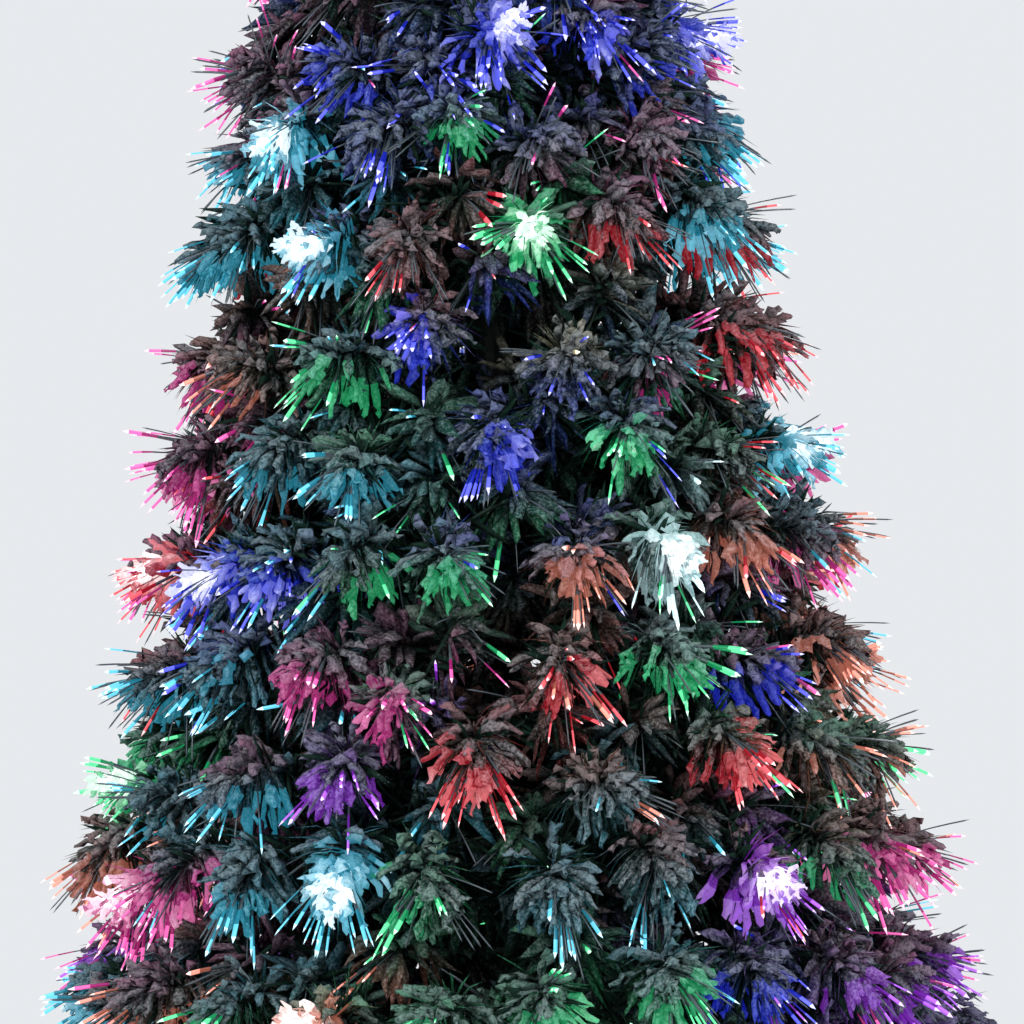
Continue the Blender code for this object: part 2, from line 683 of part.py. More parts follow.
def make_socket():
    """Sleeve that seats the pole on a ledge, its flange resting on the housing, and the clamp screw."""
    bore = bore_round(POLE_RADIUS, SOCKET_SIDES)
    outer = socket_radius()
    flange = outer + SOCKET_FLANGE_WIDTH
    seat = BASE_HEIGHT + CLEARANCE
    ledge_bore = bore_round(BUNDLE_RADIUS + CLEARANCE + FERRULE_WALL, SOCKET_SIDES)
    ledge = SOCKET_BOTTOM + SOCKET_LEDGE_HEIGHT
    profile = [
        (outer, SOCKET_TOP),
        (outer, seat + SOCKET_FLANGE_THICKNESS),
        (flange, seat + SOCKET_FLANGE_THICKNESS),
        (flange, seat),
        (outer, seat),
        (outer, SOCKET_BOTTOM),
        (ledge_bore, SOCKET_BOTTOM),
        (ledge_bore, ledge),
        (bore, ledge),
        (bore, SOCKET_TOP),
    ]
    socket = turned("pole_socket", profile, SOCKET_SIDES, BASE_PLASTIC)
    hole = bmesh.new()
    hole_radius = bore_round(SCREW_RADIUS, SCREW_SIDES)
    start = Vector((0, 0, SCREW_HEIGHT))
    add_rod(hole, start, start + Vector((0, outer + CUT_OVERRUN, 0)), hole_radius, SCREW_SIDES)
    cutter = as_cutter(add_object("screw_hole", finish_mesh("screw_hole", hole), BASE_PLASTIC, cutters))
    combine(socket, cutter, "DIFFERENCE")

    tip = POLE_RADIUS + CLEARANCE
    face = outer + CLEARANCE
    knob = face + SCREW_NECK
    profile = [
        (0, knob + SCREW_KNOB_LENGTH),
        (SCREW_KNOB_RADIUS, knob + SCREW_KNOB_LENGTH),
        (SCREW_KNOB_RADIUS, knob),
        (SCREW_RADIUS, knob),
        (SCREW_RADIUS, tip),
        (0, tip),
    ]
    screw = turned("clamp_screw", profile, SCREW_SIDES, BASE_PLASTIC)
    flutes = bmesh.new()
    for number in range(SCREW_LOBES):
        turn = number * ROUND / SCREW_LOBES
        spot = Vector((SCREW_KNOB_RADIUS * math.cos(turn), SCREW_KNOB_RADIUS * math.sin(turn), 0))
        low = Vector((0, 0, knob - SCREW_NECK / 2))
        high = Vector((0, 0, knob + SCREW_KNOB_LENGTH + CUT_OVERRUN))
        add_rod(flutes, spot + low, spot + high, SCREW_LOBE_RADIUS, SCREW_LOBE_SIDES)
    flute_set = as_cutter(add_object("knob_flutes", finish_mesh("knob_flutes", flutes), BASE_PLASTIC, cutters))
    combine(screw, flute_set, "DIFFERENCE")
    for item in (screw, flute_set):
        item.location = (0, 0, SCREW_HEIGHT)
        item.rotation_euler = (-math.pi / 2, 0, 0)


def make_lamp():
    """Finned heat sink, lamp board with its emitter, and the lens that fills the fibre end."""
    half = HEAT_SINK_SIDE / 2
    bed = HEAT_SINK_FIN_HEIGHT
    outline = [(half, bed + HEAT_SINK_BED), (-half, bed + HEAT_SINK_BED)]
    step = (HEAT_SINK_SIDE - HEAT_SINK_FIN) / (HEAT_SINK_FINS - 1)
    for number in range(HEAT_SINK_FINS):
        left = -half + number * step
        outline += [(left, bed), (left, 0), (left + HEAT_SINK_FIN, 0), (left + HEAT_SINK_FIN, bed)]
    del outline[2], outline[-1]
    sink = extruded("heat_sink", outline, HEAT_SINK_SIDE, METAL)
    sink.rotation_euler = (math.pi / 2, 0, 0)
    sink.location = (0, 0, floor_of_engine())

    edge = BOARD_SIDE / 2
    low = board_bottom()
    card = bmesh.new()
    add_box(card, (-edge, -edge, low), (edge, edge, low + BOARD_THICKNESS))
    board = add_object("lamp_board", finish_mesh("lamp_board", card), BOARD)
    emitter = bmesh.new()
    start = Vector((0, 0, low + BOARD_THICKNESS / 2))
    top = Vector((0, 0, low + BOARD_THICKNESS + EMITTER_HEIGHT / 2))
    waist = EMITTER_RADIUS * EMITTER_TAPER_SHARE
    dome = add_rod(emitter, start, top, EMITTER_RADIUS, EMITTER_SIDES, waist)
    poked = bmesh.ops.poke(emitter, faces=[front_face(dome, Vector((0, 0, 1)))])
    poked["verts"][0].co.z += EMITTER_HEIGHT / 2
    light = as_cutter(add_object("emitter", finish_mesh("emitter", emitter), BOARD, cutters))
    combine(board, light, "UNION")

    foot = lens_bottom()
    pocket = foot + EMITTER_HEIGHT + CLEARANCE
    crown = foot + EMITTER_HEIGHT + LENS_HEIGHT
    pocket_radius = EMITTER_RADIUS + CLEARANCE
    profile = [
        (0, crown + LENS_CROWN),
        (LENS_TOP_RADIUS * LENS_CROWN_SHARES[0], crown + LENS_CROWN * LENS_CROWN_SHARES[1]),
        (LENS_TOP_RADIUS * LENS_SHOULDER_SHARE, crown),
        (LENS_TOP_RADIUS, crown),
        (LENS_TOP_RADIUS, crown - LENS_CROWN / 2),
        (LENS_FOOT_RADIUS, foot),
        (pocket_radius, foot),
        (pocket_radius, pocket),
        (0, pocket),
    ]
    turned("collimator_lens", profile, LENS_SIDES, CLEAR)


def make_wheel():
    """Colour wheel on its shaft, the motor that turns it and the motor's sheet bracket."""
    low = wheel_bottom()
    boss = low - WHEEL_BOSS_HEIGHT
    bore = bore_round(SHAFT_RADIUS, MOTOR_SIDES)
    profile = [
        (WHEEL_RADIUS, low + WHEEL_THICKNESS),
        (WHEEL_RADIUS, low),
        (WHEEL_BOSS_RADIUS, low),
        (WHEEL_BOSS_RADIUS, boss),
        (bore, boss),
        (bore, low + WHEEL_THICKNESS),
    ]
    wheel = turned("colour_wheel", profile, WHEEL_SIDES, GEL)
    motor_top = boss - WHEEL_GAP - MOTOR_NOSE_HEIGHT
    base = motor_top - MOTOR_HEIGHT
    nose = motor_top + MOTOR_NOSE_HEIGHT
    pit = motor_top - MOTOR_HEIGHT / 2
    profile = [
        (0, pit),
        (bore, pit),
        (bore, nose),
        (MOTOR_NOSE_RADIUS, nose),
        (MOTOR_NOSE_RADIUS, motor_top),
        (MOTOR_RADIUS, motor_top),
        (MOTOR_RADIUS, base),
        (0, base),
    ]
    motor = turned("wheel_motor", profile, MOTOR_SIDES, METAL)
    shaft_low = pit + CLEARANCE
    shaft_high = low + WHEEL_THICKNESS
    profile = [(0, shaft_high), (SHAFT_RADIUS, shaft_high), (SHAFT_RADIUS, shaft_low), (0, shaft_low)]
    shaft = turned("motor_shaft", profile, SHAFT_SIDES, METAL)
    for item in (wheel, motor, shaft):
        item.location.x = WHEEL_OFFSET

    stand = base - CLEARANCE - floor_of_engine()
    half = BRACKET_TOP_WIDTH / 2
    foot = half + BRACKET_FLANGE
    sheet = BRACKET_SHEET
    outline = [
        (-foot, 0),
        (-half + sheet, 0),
        (-half + sheet, stand - sheet),
        (half - sheet, stand - sheet),
        (half - sheet, 0),
        (foot, 0),
        (foot, sheet),
        (half, sheet),
        (half, stand),
        (-half, stand),
        (-half, sheet),
        (-foot, sheet),
    ]
    bracket = extruded("motor_bracket", outline, BRACKET_WIDTH, STEEL)
    bracket.rotation_euler = (math.pi / 2, 0, math.pi / 2)
    bracket.location = (WHEEL_OFFSET, 0, floor_of_engine())


def make_switch():
    """Rocker switch: a bezelled body through the housing's back, and the rocker in its pocket."""
    face = BASE_RADIUS + CLEARANCE
    middle = Vector((SWITCH_PLACE, face, PANEL_HEIGHT))
    shell = bmesh.new()
    bezel = Vector((SWITCH_WIDTH / 2 + SWITCH_BEZEL, SWITCH_BEZEL_THICKNESS, SWITCH_HEIGHT / 2 + SWITCH_BEZEL))
    add_box(shell, middle - Vector((bezel.x, 0, bezel.z)), middle + bezel)
    body = add_object("switch_body", finish_mesh("switch_body", shell), BASE_PLASTIC)
    barrel = bmesh.new()
    half = Vector((SWITCH_WIDTH / 2, 0, SWITCH_HEIGHT / 2))
    back = Vector((0, SWITCH_DEPTH, 0))
    add_box(barrel, middle - half - back, middle + half + Vector((0, SWITCH_BEZEL_THICKNESS / 2, 0)))
    barrel_set = as_cutter(add_object("switch_barrel", finish_mesh("barrel", barrel), BASE_PLASTIC, cutters))
    combine(body, barrel_set, "UNION")
    pocket = bmesh.new()
    hollow = Vector((SWITCH_WIDTH / 2 - SWITCH_WALL, 0, SWITCH_HEIGHT / 2 - SWITCH_WALL))
    front = Vector((0, SWITCH_BEZEL_THICKNESS, 0))
    over = Vector((0, CUT_OVERRUN, 0))
    floor = Vector((0, SWITCH_POCKET_DEPTH, 0))
    add_box(pocket, middle + front - floor - hollow, middle + front + over + hollow)
    pocket_set = as_cutter(add_object("switch_pocket", finish_mesh("pocket", pocket), BASE_PLASTIC, cutters))
    combine(body, pocket_set, "DIFFERENCE")

    length = ROCKER_HALF_LENGTH
    flank = ROCKER_FLANK_SHARE * length
    knee = ROCKER_KNEE_SHARES[0] * length
    knee_depth = -ROCKER_KNEE_SHARES[1] * ROCKER_BELLY
    outline = [
        (-length, ROCKER_TIP_HEIGHT),
        (-flank, 0),
        (-knee, knee_depth),
        (0, -ROCKER_BELLY),
        (knee, knee_depth),
        (flank, 0),
        (length, ROCKER_TIP_HEIGHT),
        (0, ROCKER_DIP_HEIGHT),
    ]
    thickness = 2 * (hollow.z - CLEARANCE)
    rocker = extruded("switch_rocker", outline, thickness, SWITCH_BLACK)
    rocker.location = middle
    rocker.rotation_euler = (0, 0, -ROCKER_TILT)


def make_inlet():
    """Barrel inlet for the low-voltage lead, with its centre pin."""
    face = INLET_FLANGE_THICKNESS
    floor = face - INLET_BORE_DEPTH
    profile = [
        (0, floor + INLET_PIN_LENGTH),
        (INLET_PIN_RADIUS, floor + INLET_PIN_LENGTH),
        (INLET_PIN_RADIUS, floor),
        (INLET_BORE_RADIUS, floor),
        (INLET_BORE_RADIUS, face),
        (INLET_FLANGE_RADIUS, face),
        (INLET_FLANGE_RADIUS, 0),
        (INLET_BARREL_RADIUS, 0),
        (INLET_BARREL_RADIUS, -INLET_DEPTH),
        (0, -INLET_DEPTH),
    ]
    inlet = turned("dc_inlet", profile, INLET_SIDES, BASE_PLASTIC)
    inlet.location = (-INLET_PLACE, BASE_RADIUS + CLEARANCE, PANEL_HEIGHT)
    inlet.rotation_euler = (-math.pi / 2, 0, 0)


def make_crown():
    """Top of the tree: a leader plugged into the pole, with its own tips and an upright spire."""
    plug = bmesh.new()
    low = Vector((0, 0, POLE_TOP - CROWN_PLUG_LENGTH))
    plug_radius = POLE_RADIUS - POLE_WALL - CLEARANCE
    add_rod(plug, low, Vector((0, 0, POLE_TOP + CROWN_PLUG_HEAD)), plug_radius, POLE_SIDES)
    leader = bmesh.new()
    foot = low + Vector((0, 0, CROWN_PLUG_LENGTH / 2))
    way = Vector((0, 0, 1))
    length = TREE_HEIGHT - CROWN_SPIRE_LENGTH - foot.z
    add_rod(leader, foot, foot + way * length, LEADER_RADIUS, WIRE_SIDES)
    groups = []
    stations = []
    for row, (rise_share, reach_share, root_share) in enumerate(CROWN_ROW_SHARES):
        height = TREE_HEIGHT - CROWN_HEIGHT * (1 - rise_share)
        reach = CROWN_RADIUS * reach_share
        turns = [(number + row / 2) * ROUND / WIRE_SIDES for number in range(WIRE_SIDES)]
        groups.append([Vector((reach * math.cos(turn), reach * math.sin(turn), height)) for turn in turns])
        stations.append(length * root_share)
    spire = Vector((0, 0, TREE_HEIGHT))
    groups[-1].append(spire)
    grow_stations(leader, foot, way, stations, groups, [spire], plug)
    add_object("crown", union_mesh("crown", leader, plug, NEEDLES), None)


make_base()
make_socket()
make_lamp()
make_wheel()
make_switch()
make_inlet()
make_poles()
make_fibres()
for tier_number, branch_count in enumerate(BRANCH_COUNTS):
    make_hub(tier_number)
    for branch_number in range(branch_count):
        make_branch(tier_number, branch_number)
make_crown()
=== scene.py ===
"""Fibre optic Christmas tree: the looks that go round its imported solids.

Metres, +Z up, floor at zero. The camera looks along +Y at the middle of the tree.
"""
import math

import bpy
import numpy as np
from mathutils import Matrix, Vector


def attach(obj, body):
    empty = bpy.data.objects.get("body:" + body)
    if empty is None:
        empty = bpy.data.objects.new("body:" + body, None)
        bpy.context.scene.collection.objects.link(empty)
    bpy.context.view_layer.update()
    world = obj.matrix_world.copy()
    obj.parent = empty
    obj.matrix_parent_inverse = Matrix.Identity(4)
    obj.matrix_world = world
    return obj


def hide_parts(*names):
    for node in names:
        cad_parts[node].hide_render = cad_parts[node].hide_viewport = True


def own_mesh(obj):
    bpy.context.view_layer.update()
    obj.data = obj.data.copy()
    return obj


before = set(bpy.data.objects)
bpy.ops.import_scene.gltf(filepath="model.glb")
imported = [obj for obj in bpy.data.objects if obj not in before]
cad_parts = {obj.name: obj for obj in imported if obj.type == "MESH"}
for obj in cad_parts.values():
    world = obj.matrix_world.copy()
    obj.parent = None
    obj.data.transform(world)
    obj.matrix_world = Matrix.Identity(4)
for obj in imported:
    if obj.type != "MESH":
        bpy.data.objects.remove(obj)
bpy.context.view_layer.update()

# Camera: level with the middle of the needles and a step to the right of the pole, rolled a
# little so that the top of the tree leans left.
CAMERA_PLACE = (0.0148, -3.0, 0.7626)
CAMERA_ROLL = math.radians(2.4)
SENSOR_WIDTH = 36.0
FRAME_WIDTH = 0.775
SIGHT_LIMIT = 60.0
camera_data = bpy.data.cameras.new("camera")
camera_data.sensor_width = SENSOR_WIDTH
camera_data.lens = SENSOR_WIDTH * -CAMERA_PLACE[1] / FRAME_WIDTH
camera_data.clip_end = SIGHT_LIMIT
camera = bpy.data.objects.new("camera", camera_data)
camera.location = CAMERA_PLACE
camera.rotation_euler = (math.pi / 2, CAMERA_ROLL, 0)
bpy.context.scene.collection.objects.link(camera)
bpy.context.scene.camera = camera
bpy.context.scene.view_settings.view_transform = "Standard"


# Studio: a pale round floor, a pale surround that the camera sees, and three soft lamps.
FLOOR_RADIUS = 2.6
FLOOR_SIDES = 96
FLOOR_COLOUR = (0.80, 0.81, 0.83)
PATCH_SHARE = 0.97
SURROUND_COLOUR = (0.80, 0.82, 0.85)
SURROUND_LIGHT = 0.45
LAMP_TARGET = (0.0, 0.0, 0.8)
LAMPS = (
    ("key_lamp", (-1.9, -2.6, 2.6), 1.6, 58.0),
    ("fill_lamp", (2.4, -2.0, 1.5), 1.8, 28.0),
    ("back_lamp", (0.6, 2.6, 2.8), 1.6, 34.0),
)


def tree_of(material):
    """Return a material's nodes, links and Principled shader."""
    material.use_nodes = True
    nodes = material.node_tree.nodes
    return nodes, material.node_tree.links, nodes["Principled BSDF"]


def noise_of(nodes, links, scale, detail, vector=None):
    """Add noise read from Object coordinates and return its node."""
    noise = nodes.new("ShaderNodeTexNoise")
    noise.inputs["Scale"].default_value = scale
    noise.inputs["Detail"].default_value = detail
    if vector is None:
        vector = nodes.new("ShaderNodeTexCoord").outputs["Object"]
    links.new(vector, noise.inputs["Vector"])
    return noise


def ramp_of(nodes, links, value, stops):
    """Turn a value into a colour through stops of (place, colour)."""
    ramp = nodes.new("ShaderNodeValToRGB")
    places = ramp.color_ramp.elements
    while len(places) < len(stops):
        places.new(0.5)
    for element, (place, colour) in zip(places, stops):
        element.position = place
        element.color = (*colour, 1.0)
    links.new(value, ramp.inputs["Fac"])
    return ramp.outputs["Color"]


def bump_of(nodes, links, shader, height, strength, distance):
    """Drive a shader's normal from a height."""
    bump = nodes.new("ShaderNodeBump")
    bump.inputs["Strength"].default_value = strength
    bump.inputs["Distance"].default_value = distance
    links.new(height, bump.inputs["Height"])
    links.new(bump.outputs["Normal"], shader.inputs["Normal"])


def mesh_object(name, points, faces, material):
    """Make an object at the origin from an array of points and a list of faces."""
    mesh = bpy.data.meshes.new(name)
    mesh.from_pydata(points.tolist(), [], faces)
    mesh.materials.append(material)
    item = bpy.data.objects.new(name, mesh)
    bpy.context.scene.collection.objects.link(item)
    return item


floor_paint = bpy.data.materials.new("floor_paint")
nodes, links, shader = tree_of(floor_paint)
grain = noise_of(nodes, links, 3.0, 2.0)
pale = tuple(PATCH_SHARE * part for part in FLOOR_COLOUR)
paint = ramp_of(nodes, links, grain.outputs["Fac"], ((0.3, pale), (0.7, FLOOR_COLOUR)))
links.new(paint, shader.inputs["Base Color"])
shader.inputs["Roughness"].default_value = 0.8
turns = np.arange(FLOOR_SIDES) * 2 * math.pi / FLOOR_SIDES
rim = np.stack([FLOOR_RADIUS * np.cos(turns), FLOOR_RADIUS * np.sin(turns), 0 * turns], axis=1)
floor = mesh_object("studio_floor", rim, [tuple(range(FLOOR_SIDES))], floor_paint)

world = bpy.data.worlds.new("surround")
bpy.context.scene.world = world
world.use_nodes = True
nodes, links = world.node_tree.nodes, world.node_tree.links
sky = nodes["Background"]
sky.inputs["Color"].default_value = (*SURROUND_COLOUR, 1.0)
path = nodes.new("ShaderNodeLightPath")
seen = path.outputs["Is Camera Ray"]
for kind in ("Is Glossy Ray", "Is Transmission Ray"):
    either = nodes.new("ShaderNodeMath")
    either.operation = "MAXIMUM"
    links.new(seen, either.inputs[0])
    links.new(path.outputs[kind], either.inputs[1])
    seen = either.outputs[0]
level = nodes.new("ShaderNodeMapRange")
level.inputs["To Min"].default_value = SURROUND_LIGHT
level.inputs["To Max"].default_value = 1.0
links.new(seen, level.inputs["Value"])
links.new(level.outputs["Result"], sky.inputs["Strength"])
for name, place, size, power in LAMPS:
    lamp = bpy.data.lights.new(name, "AREA")
    lamp.size = size
    lamp.energy = power
    holder = bpy.data.objects.new(name, lamp)
    holder.location = place
    holder.rotation_euler = (Vector(LAMP_TARGET) - Vector(place)).to_track_quat("-Z", "Y").to_euler()
    bpy.context.scene.collection.objects.link(holder)


# Base and its fittings: a moulded black housing on a plate with four feet, the pole socket and
# its thumb screw, the rocker switch and the low-voltage inlet. Fine-grained ABS.
TONE_SCALE = 18.0
GLOSS_CHANGES = (-0.06, 0.08)
GRAIN_STRENGTH = 0.35


def plastic_finish(name, dark, light, roughness, grain_size, depth):
    """Moulded plastic: a fine grain in the surface, with broad faint changes of tone and gloss."""
    material = bpy.data.materials.new(name)
    nodes, links, shader = tree_of(material)
    broad = noise_of(nodes, links, TONE_SCALE, 3.0)
    tone = ramp_of(nodes, links, broad.outputs["Fac"], ((0.3, dark), (0.7, light)))
    links.new(tone, shader.inputs["Base Color"])
    gloss = nodes.new("ShaderNodeMapRange")
    gloss.inputs["To Min"].default_value = roughness + GLOSS_CHANGES[0]
    gloss.inputs["To Max"].default_value = roughness + GLOSS_CHANGES[1]
    links.new(broad.outputs["Fac"], gloss.inputs["Value"])
    links.new(gloss.outputs["Result"], shader.inputs["Roughness"])
    fine = noise_of(nodes, links, grain_size, 2.0)
    bump_of(nodes, links, shader, fine.outputs["Fac"], GRAIN_STRENGTH, depth)
    return material


def dress(node_names, material):
    """Give CAD nodes a finish in every material slot."""
    for node_name in node_names:
        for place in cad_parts[node_name].material_slots:
            place.material = material


dress(
    ("base_shell", "base_plate", "pole_socket", "clamp_screw"),
    plastic_finish("moulded_black", (0.012, 0.012, 0.013), (0.026, 0.026, 0.028), 0.42, 1400.0, 0.0002),
)
dress(
    ("switch_body", "switch_rocker", "dc_inlet"),
    plastic_finish("gloss_black", (0.014, 0.014, 0.015), (0.022, 0.022, 0.024), 0.20, 300.0, 0.00004),
)


# Light engine inside the base: finned heat sink, white lamp board, clear lens, gel colour wheel
# on its motor. It shows only through the vents.
STREAK_SCALE = 60.0
STREAK_STRENGTH = 0.2
STREAK_DEPTH = 0.0001


def metal_finish(name, dark, light, roughness, stretch):
    """Worked metal: fine streaks along one axis, from noise on stretched Object coordinates."""
    material = bpy.data.materials.new(name)
    nodes, links, shader = tree_of(material)
    place = nodes.new("ShaderNodeMapping")
    place.inputs["Scale"].default_value = stretch
    links.new(nodes.new("ShaderNodeTexCoord").outputs["Object"], place.inputs["Vector"])
    streak = noise_of(nodes, links, STREAK_SCALE, 4.0, place.outputs["Vector"])
    tone = ramp_of(nodes, links, streak.outputs["Fac"], ((0.3, dark), (0.7, light)))
    links.new(tone, shader.inputs["Base Color"])
    shader.inputs["Metallic"].default_value = 1.0
    shader.inputs["Roughness"].default_value = roughness
    bump_of(nodes, links, shader, streak.outputs["Fac"], STREAK_STRENGTH, STREAK_DEPTH)
    return material


def gel_finish(name, colours, centre):
    """Gel wheel: one colour to each sector, found from the angle of Object X and Y about a centre."""
    material = bpy.data.materials.new(name)
    nodes, links, shader = tree_of(material)
    place = nodes.new("ShaderNodeMapping")
    place.inputs["Location"].default_value = (-centre[0], -centre[1], 0)
    links.new(nodes.new("ShaderNodeTexCoord").outputs["Object"], place.inputs["Vector"])
    angle = nodes.new("ShaderNodeTexGradient")
    angle.gradient_type = "RADIAL"
    links.new(place.outputs["Vector"], angle.inputs["Vector"])
    stops = [(number / len(colours), colour) for number, colour in enumerate(colours)]
    ramp = ramp_of(nodes, links, angle.outputs["Fac"], stops)
    ramp.node.color_ramp.interpolation = "CONSTANT"
    links.new(ramp, shader.inputs["Base Color"])
    shader.inputs["Roughness"].default_value = 0.15
    return material


# The colours that the wheel throws up the fibres, as light.
LIGHT = {
    "red": (0.90, 0.02, 0.05),
    "salmon": (1.00, 0.30, 0.20),
    "magenta": (0.95, 0.05, 0.42),
    "purple": (0.42, 0.04, 0.95),
    "blue": (0.02, 0.04, 1.00),
    "cyan": (0.05, 0.60, 0.85),
    "green": (0.03, 0.78, 0.28),
    "warm": (1.00, 0.82, 0.48),
    "white": (0.62, 0.95, 1.00),
}
GEL_ORDER = ("red", "magenta", "blue", "cyan", "green", "warm")
WHEEL_CENTRE = (0.044, 0.0)
dress(
    ("heat_sink", "fibre_ferrule"),
    metal_finish("cast_aluminium", (0.55, 0.56, 0.57), (0.74, 0.75, 0.76), 0.35, (1, 1, 6)),
)
dress(
    ("wheel_motor", "motor_bracket"),
    metal_finish("plated_sheet", (0.48, 0.48, 0.48), (0.62, 0.62, 0.60), 0.32, (6, 1, 1)),
)
dress(
    ("motor_shaft",),
    metal_finish("ground_steel", (0.55, 0.55, 0.55), (0.66, 0.66, 0.66), 0.18, (1, 1, 12)),
)
dress(
    ("lamp_board",),
    plastic_finish("board_white", (0.78, 0.79, 0.77), (0.86, 0.87, 0.85), 0.5, 500.0, 0.0001),
)
dress(
    ("collimator_lens",),
    plastic_finish("clear_acrylic", (0.72, 0.78, 0.84), (0.80, 0.85, 0.90), 0.10, 90.0, 0.00002),
)
dress(("colour_wheel",), gel_finish("gel_sectors", [LIGHT[name] for name in GEL_ORDER], WHEEL_CENTRE))


# Pole, hubs and fibre bundles: steel tube in dark green enamel, green moulded collars with an ear
# each side of every branch pin, and bundles of clear fibre inside the tube.
dress(
    ("lower_pole", "upper_pole"),
    plastic_finish("green_enamel", (0.008, 0.030, 0.014), (0.016, 0.050, 0.026), 0.34, 140.0, 0.0001),
)
dress(
    [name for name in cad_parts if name.startswith("hub_")],
    plastic_finish("green_moulding", (0.008, 0.026, 0.013), (0.014, 0.042, 0.022), 0.5, 900.0, 0.0002),
)
dress(
    ("lower_fibre_bundle", "upper_fibre_bundle"),
    plastic_finish("fibre_bundle", (0.60, 0.66, 0.70), (0.78, 0.82, 0.85), 0.2, 700.0, 0.0002),
)


# Branches: each is a steel wire hung on a cross pin between the hub's ears, with needle tips wired
# to it in groups of four. The plan below gives every tip's end, as the solids have it.
TREE_HEIGHT = 1.800
SKIRT_HEIGHT = 0.230
SKIRT_RADIUS = 0.382
CROWN_HEIGHT = 0.190
CROWN_RADIUS = 0.0815
BRANCH_COUNTS = (6, 6, 5, 5, 4, 4)
TIER_TURN_SHARES = (0.50, 0.04, 0.36, 0.62, 0.10, 0.60)
TIER_HEIGHT = (TREE_HEIGHT - CROWN_HEIGHT - SKIRT_HEIGHT) / len(BRANCH_COUNTS)
TIER_ROWS = 3
TIP_PITCH = 0.0950
STAGGER_SHARE = 0.22
HINGE_RADIUS = 0.034
WIRE_REACH_SHARE = 0.62
FIRST_TWIG = 0.012
FIRST_TWIG_SHARE = 0.25
LAST_TWIG = 0.006
TIPS_PER_STATION = 4
LOWEST_BRANCH_RISE = math.radians(14)
RISE_PER_TIER = math.radians(4)
LAMP_TIPS = (
    ((4,), (8,), (3,), (4,), (8,), (3,)),
    ((6,), (1,), (8,), (3, 5), (2,), (2,)),
    ((5,), (8,), (3,), (0,), (1, 6)),
    ((4,), (1,), (5,), (0, 2, 8), (8,)),
    ((7,), (7,), (1,), (5,)),
    ((1,), (4,), (4,), (5,)),
)


def envelope(height):
    """Radius of the needle tips' outline at a height: a straight line from skirt to crown."""
    fall = (SKIRT_RADIUS - CROWN_RADIUS) / (TREE_HEIGHT - CROWN_HEIGHT - SKIRT_HEIGHT)
    return SKIRT_RADIUS - fall * (height - SKIRT_HEIGHT)


def branch_plan(tier):
    """Return a tier's rise, wire length and hinge height, its tips' ends and their places on the wire.

    Ends lie in rows over the branch's sector, each at the outline's radius. Tips are tied on in
    fours, those that reach farthest sideways nearest the hinge.
    """
    rise = LOWEST_BRANCH_RISE + RISE_PER_TIER * tier
    middle = SKIRT_HEIGHT + TIER_HEIGHT * (tier + 0.5)
    reach = (envelope(middle) - HINGE_RADIUS) * WIRE_REACH_SHARE
    hinge = middle - reach * math.tan(rise)
    length = reach / math.cos(rise)
    sector = 2 * math.pi / BRANCH_COUNTS[tier]
    ends = []
    for row in range(TIER_ROWS):
        height = SKIRT_HEIGHT + TIER_HEIGHT * (tier + (row + 0.5) / TIER_ROWS)
        out = envelope(height)
        columns = max(1, round(out * sector / TIP_PITCH))
        step = sector / columns
        shift = STAGGER_SHARE * step * (1 if row % 2 else -1)
        for column in range(columns):
            swing = (column - (columns - 1) / 2) * step + shift
            ends.append((out * math.cos(swing) - HINGE_RADIUS, out * math.sin(swing), height - hinge))
    order = sorted(range(len(ends)), key=lambda number: -abs(ends[number][1]))
    count = max(2, math.ceil((len(ends) - 1) / TIPS_PER_STATION))
    first = FIRST_TWIG + (length - FIRST_TWIG) * FIRST_TWIG_SHARE
    along = np.zeros(len(ends))
    for rank, number in enumerate(order):
        station = min(rank // TIPS_PER_STATION, count - 1)
        along[number] = first + (length - LAST_TWIG - first) * station / (count - 1)
    return rise, length, hinge, np.array(ends), along


# Needle tips: a twisted wire with green PVC needles, clotted with sprayed flock into rough
# fingers, sixteen clear fibres that end among them, and on one tip in eight a small lamp.
FINE_SHARES = np.array((0.0, 0.55, 1.0))
FINE_GIRTH_SHARES = np.array((0.8, 1.0))
# Each kind: count, shares along, girths there, length, half width, depth share, flock.
NEEDLES = {
    "finger": (
        52, (0.0, 0.18, 0.36, 0.54, 0.70, 0.84, 0.95, 1.0), (0.40, 0.70, 0.90, 1.0, 1.05, 1.0, 0.75),
        0.038, 0.0040, 0.60, 0.95,
    ),
    "inner": (32, (0.0, 0.42, 0.80, 1.0), (0.45, 1.0, 0.68), 0.046, 0.0056, 0.55, 0.55),
    "fine": (60, FINE_SHARES, FINE_GIRTH_SHARES, 0.041, 0.0007, 0.9, 0.3),
}
# Angles are in degrees, and a pair is the range of a random draw, as shares.
INNER_PITCH = 0.0026
INNER_LENGTH = 0.040
INNER_HALF_WIDTH = 0.0029
INNER_DEPTH_SHARE = 0.6
INNER_DROOP = 0.004
INNER_LEAST = 6
INNER_ANGLES = (48, 78)
INNER_LENGTHS = (0.6, 1.15)
INNER_WIDTHS = (0.7, 1.3)
INNER_FLOCK = 0.12
WIRE_NEEDLE_PITCH = 0.0008
WIRE_NEEDLE_LENGTH = 0.062
WOUND_LENGTH = 0.040
WOUND_SETBACK = 0.028
LAMP_SETBACK = 0.012
LAMP_TIP_LIGHT = 0.95
TIP_JITTER = 0.0045
NEEDLE_DROOP = 0.013
FIRST_NEEDLE_ANGLE = 84
NEEDLE_ANGLE_FALL = 70
NEEDLE_ANGLE_SPREAD = 8
NEEDLE_LENGTHS = (0.70, 1.16)
NEEDLE_LENGTH_FALL = 0.25
NEEDLE_DROOPS = (0.4, 1.3)
NEEDLE_WIDTHS = (0.62, 1.15)
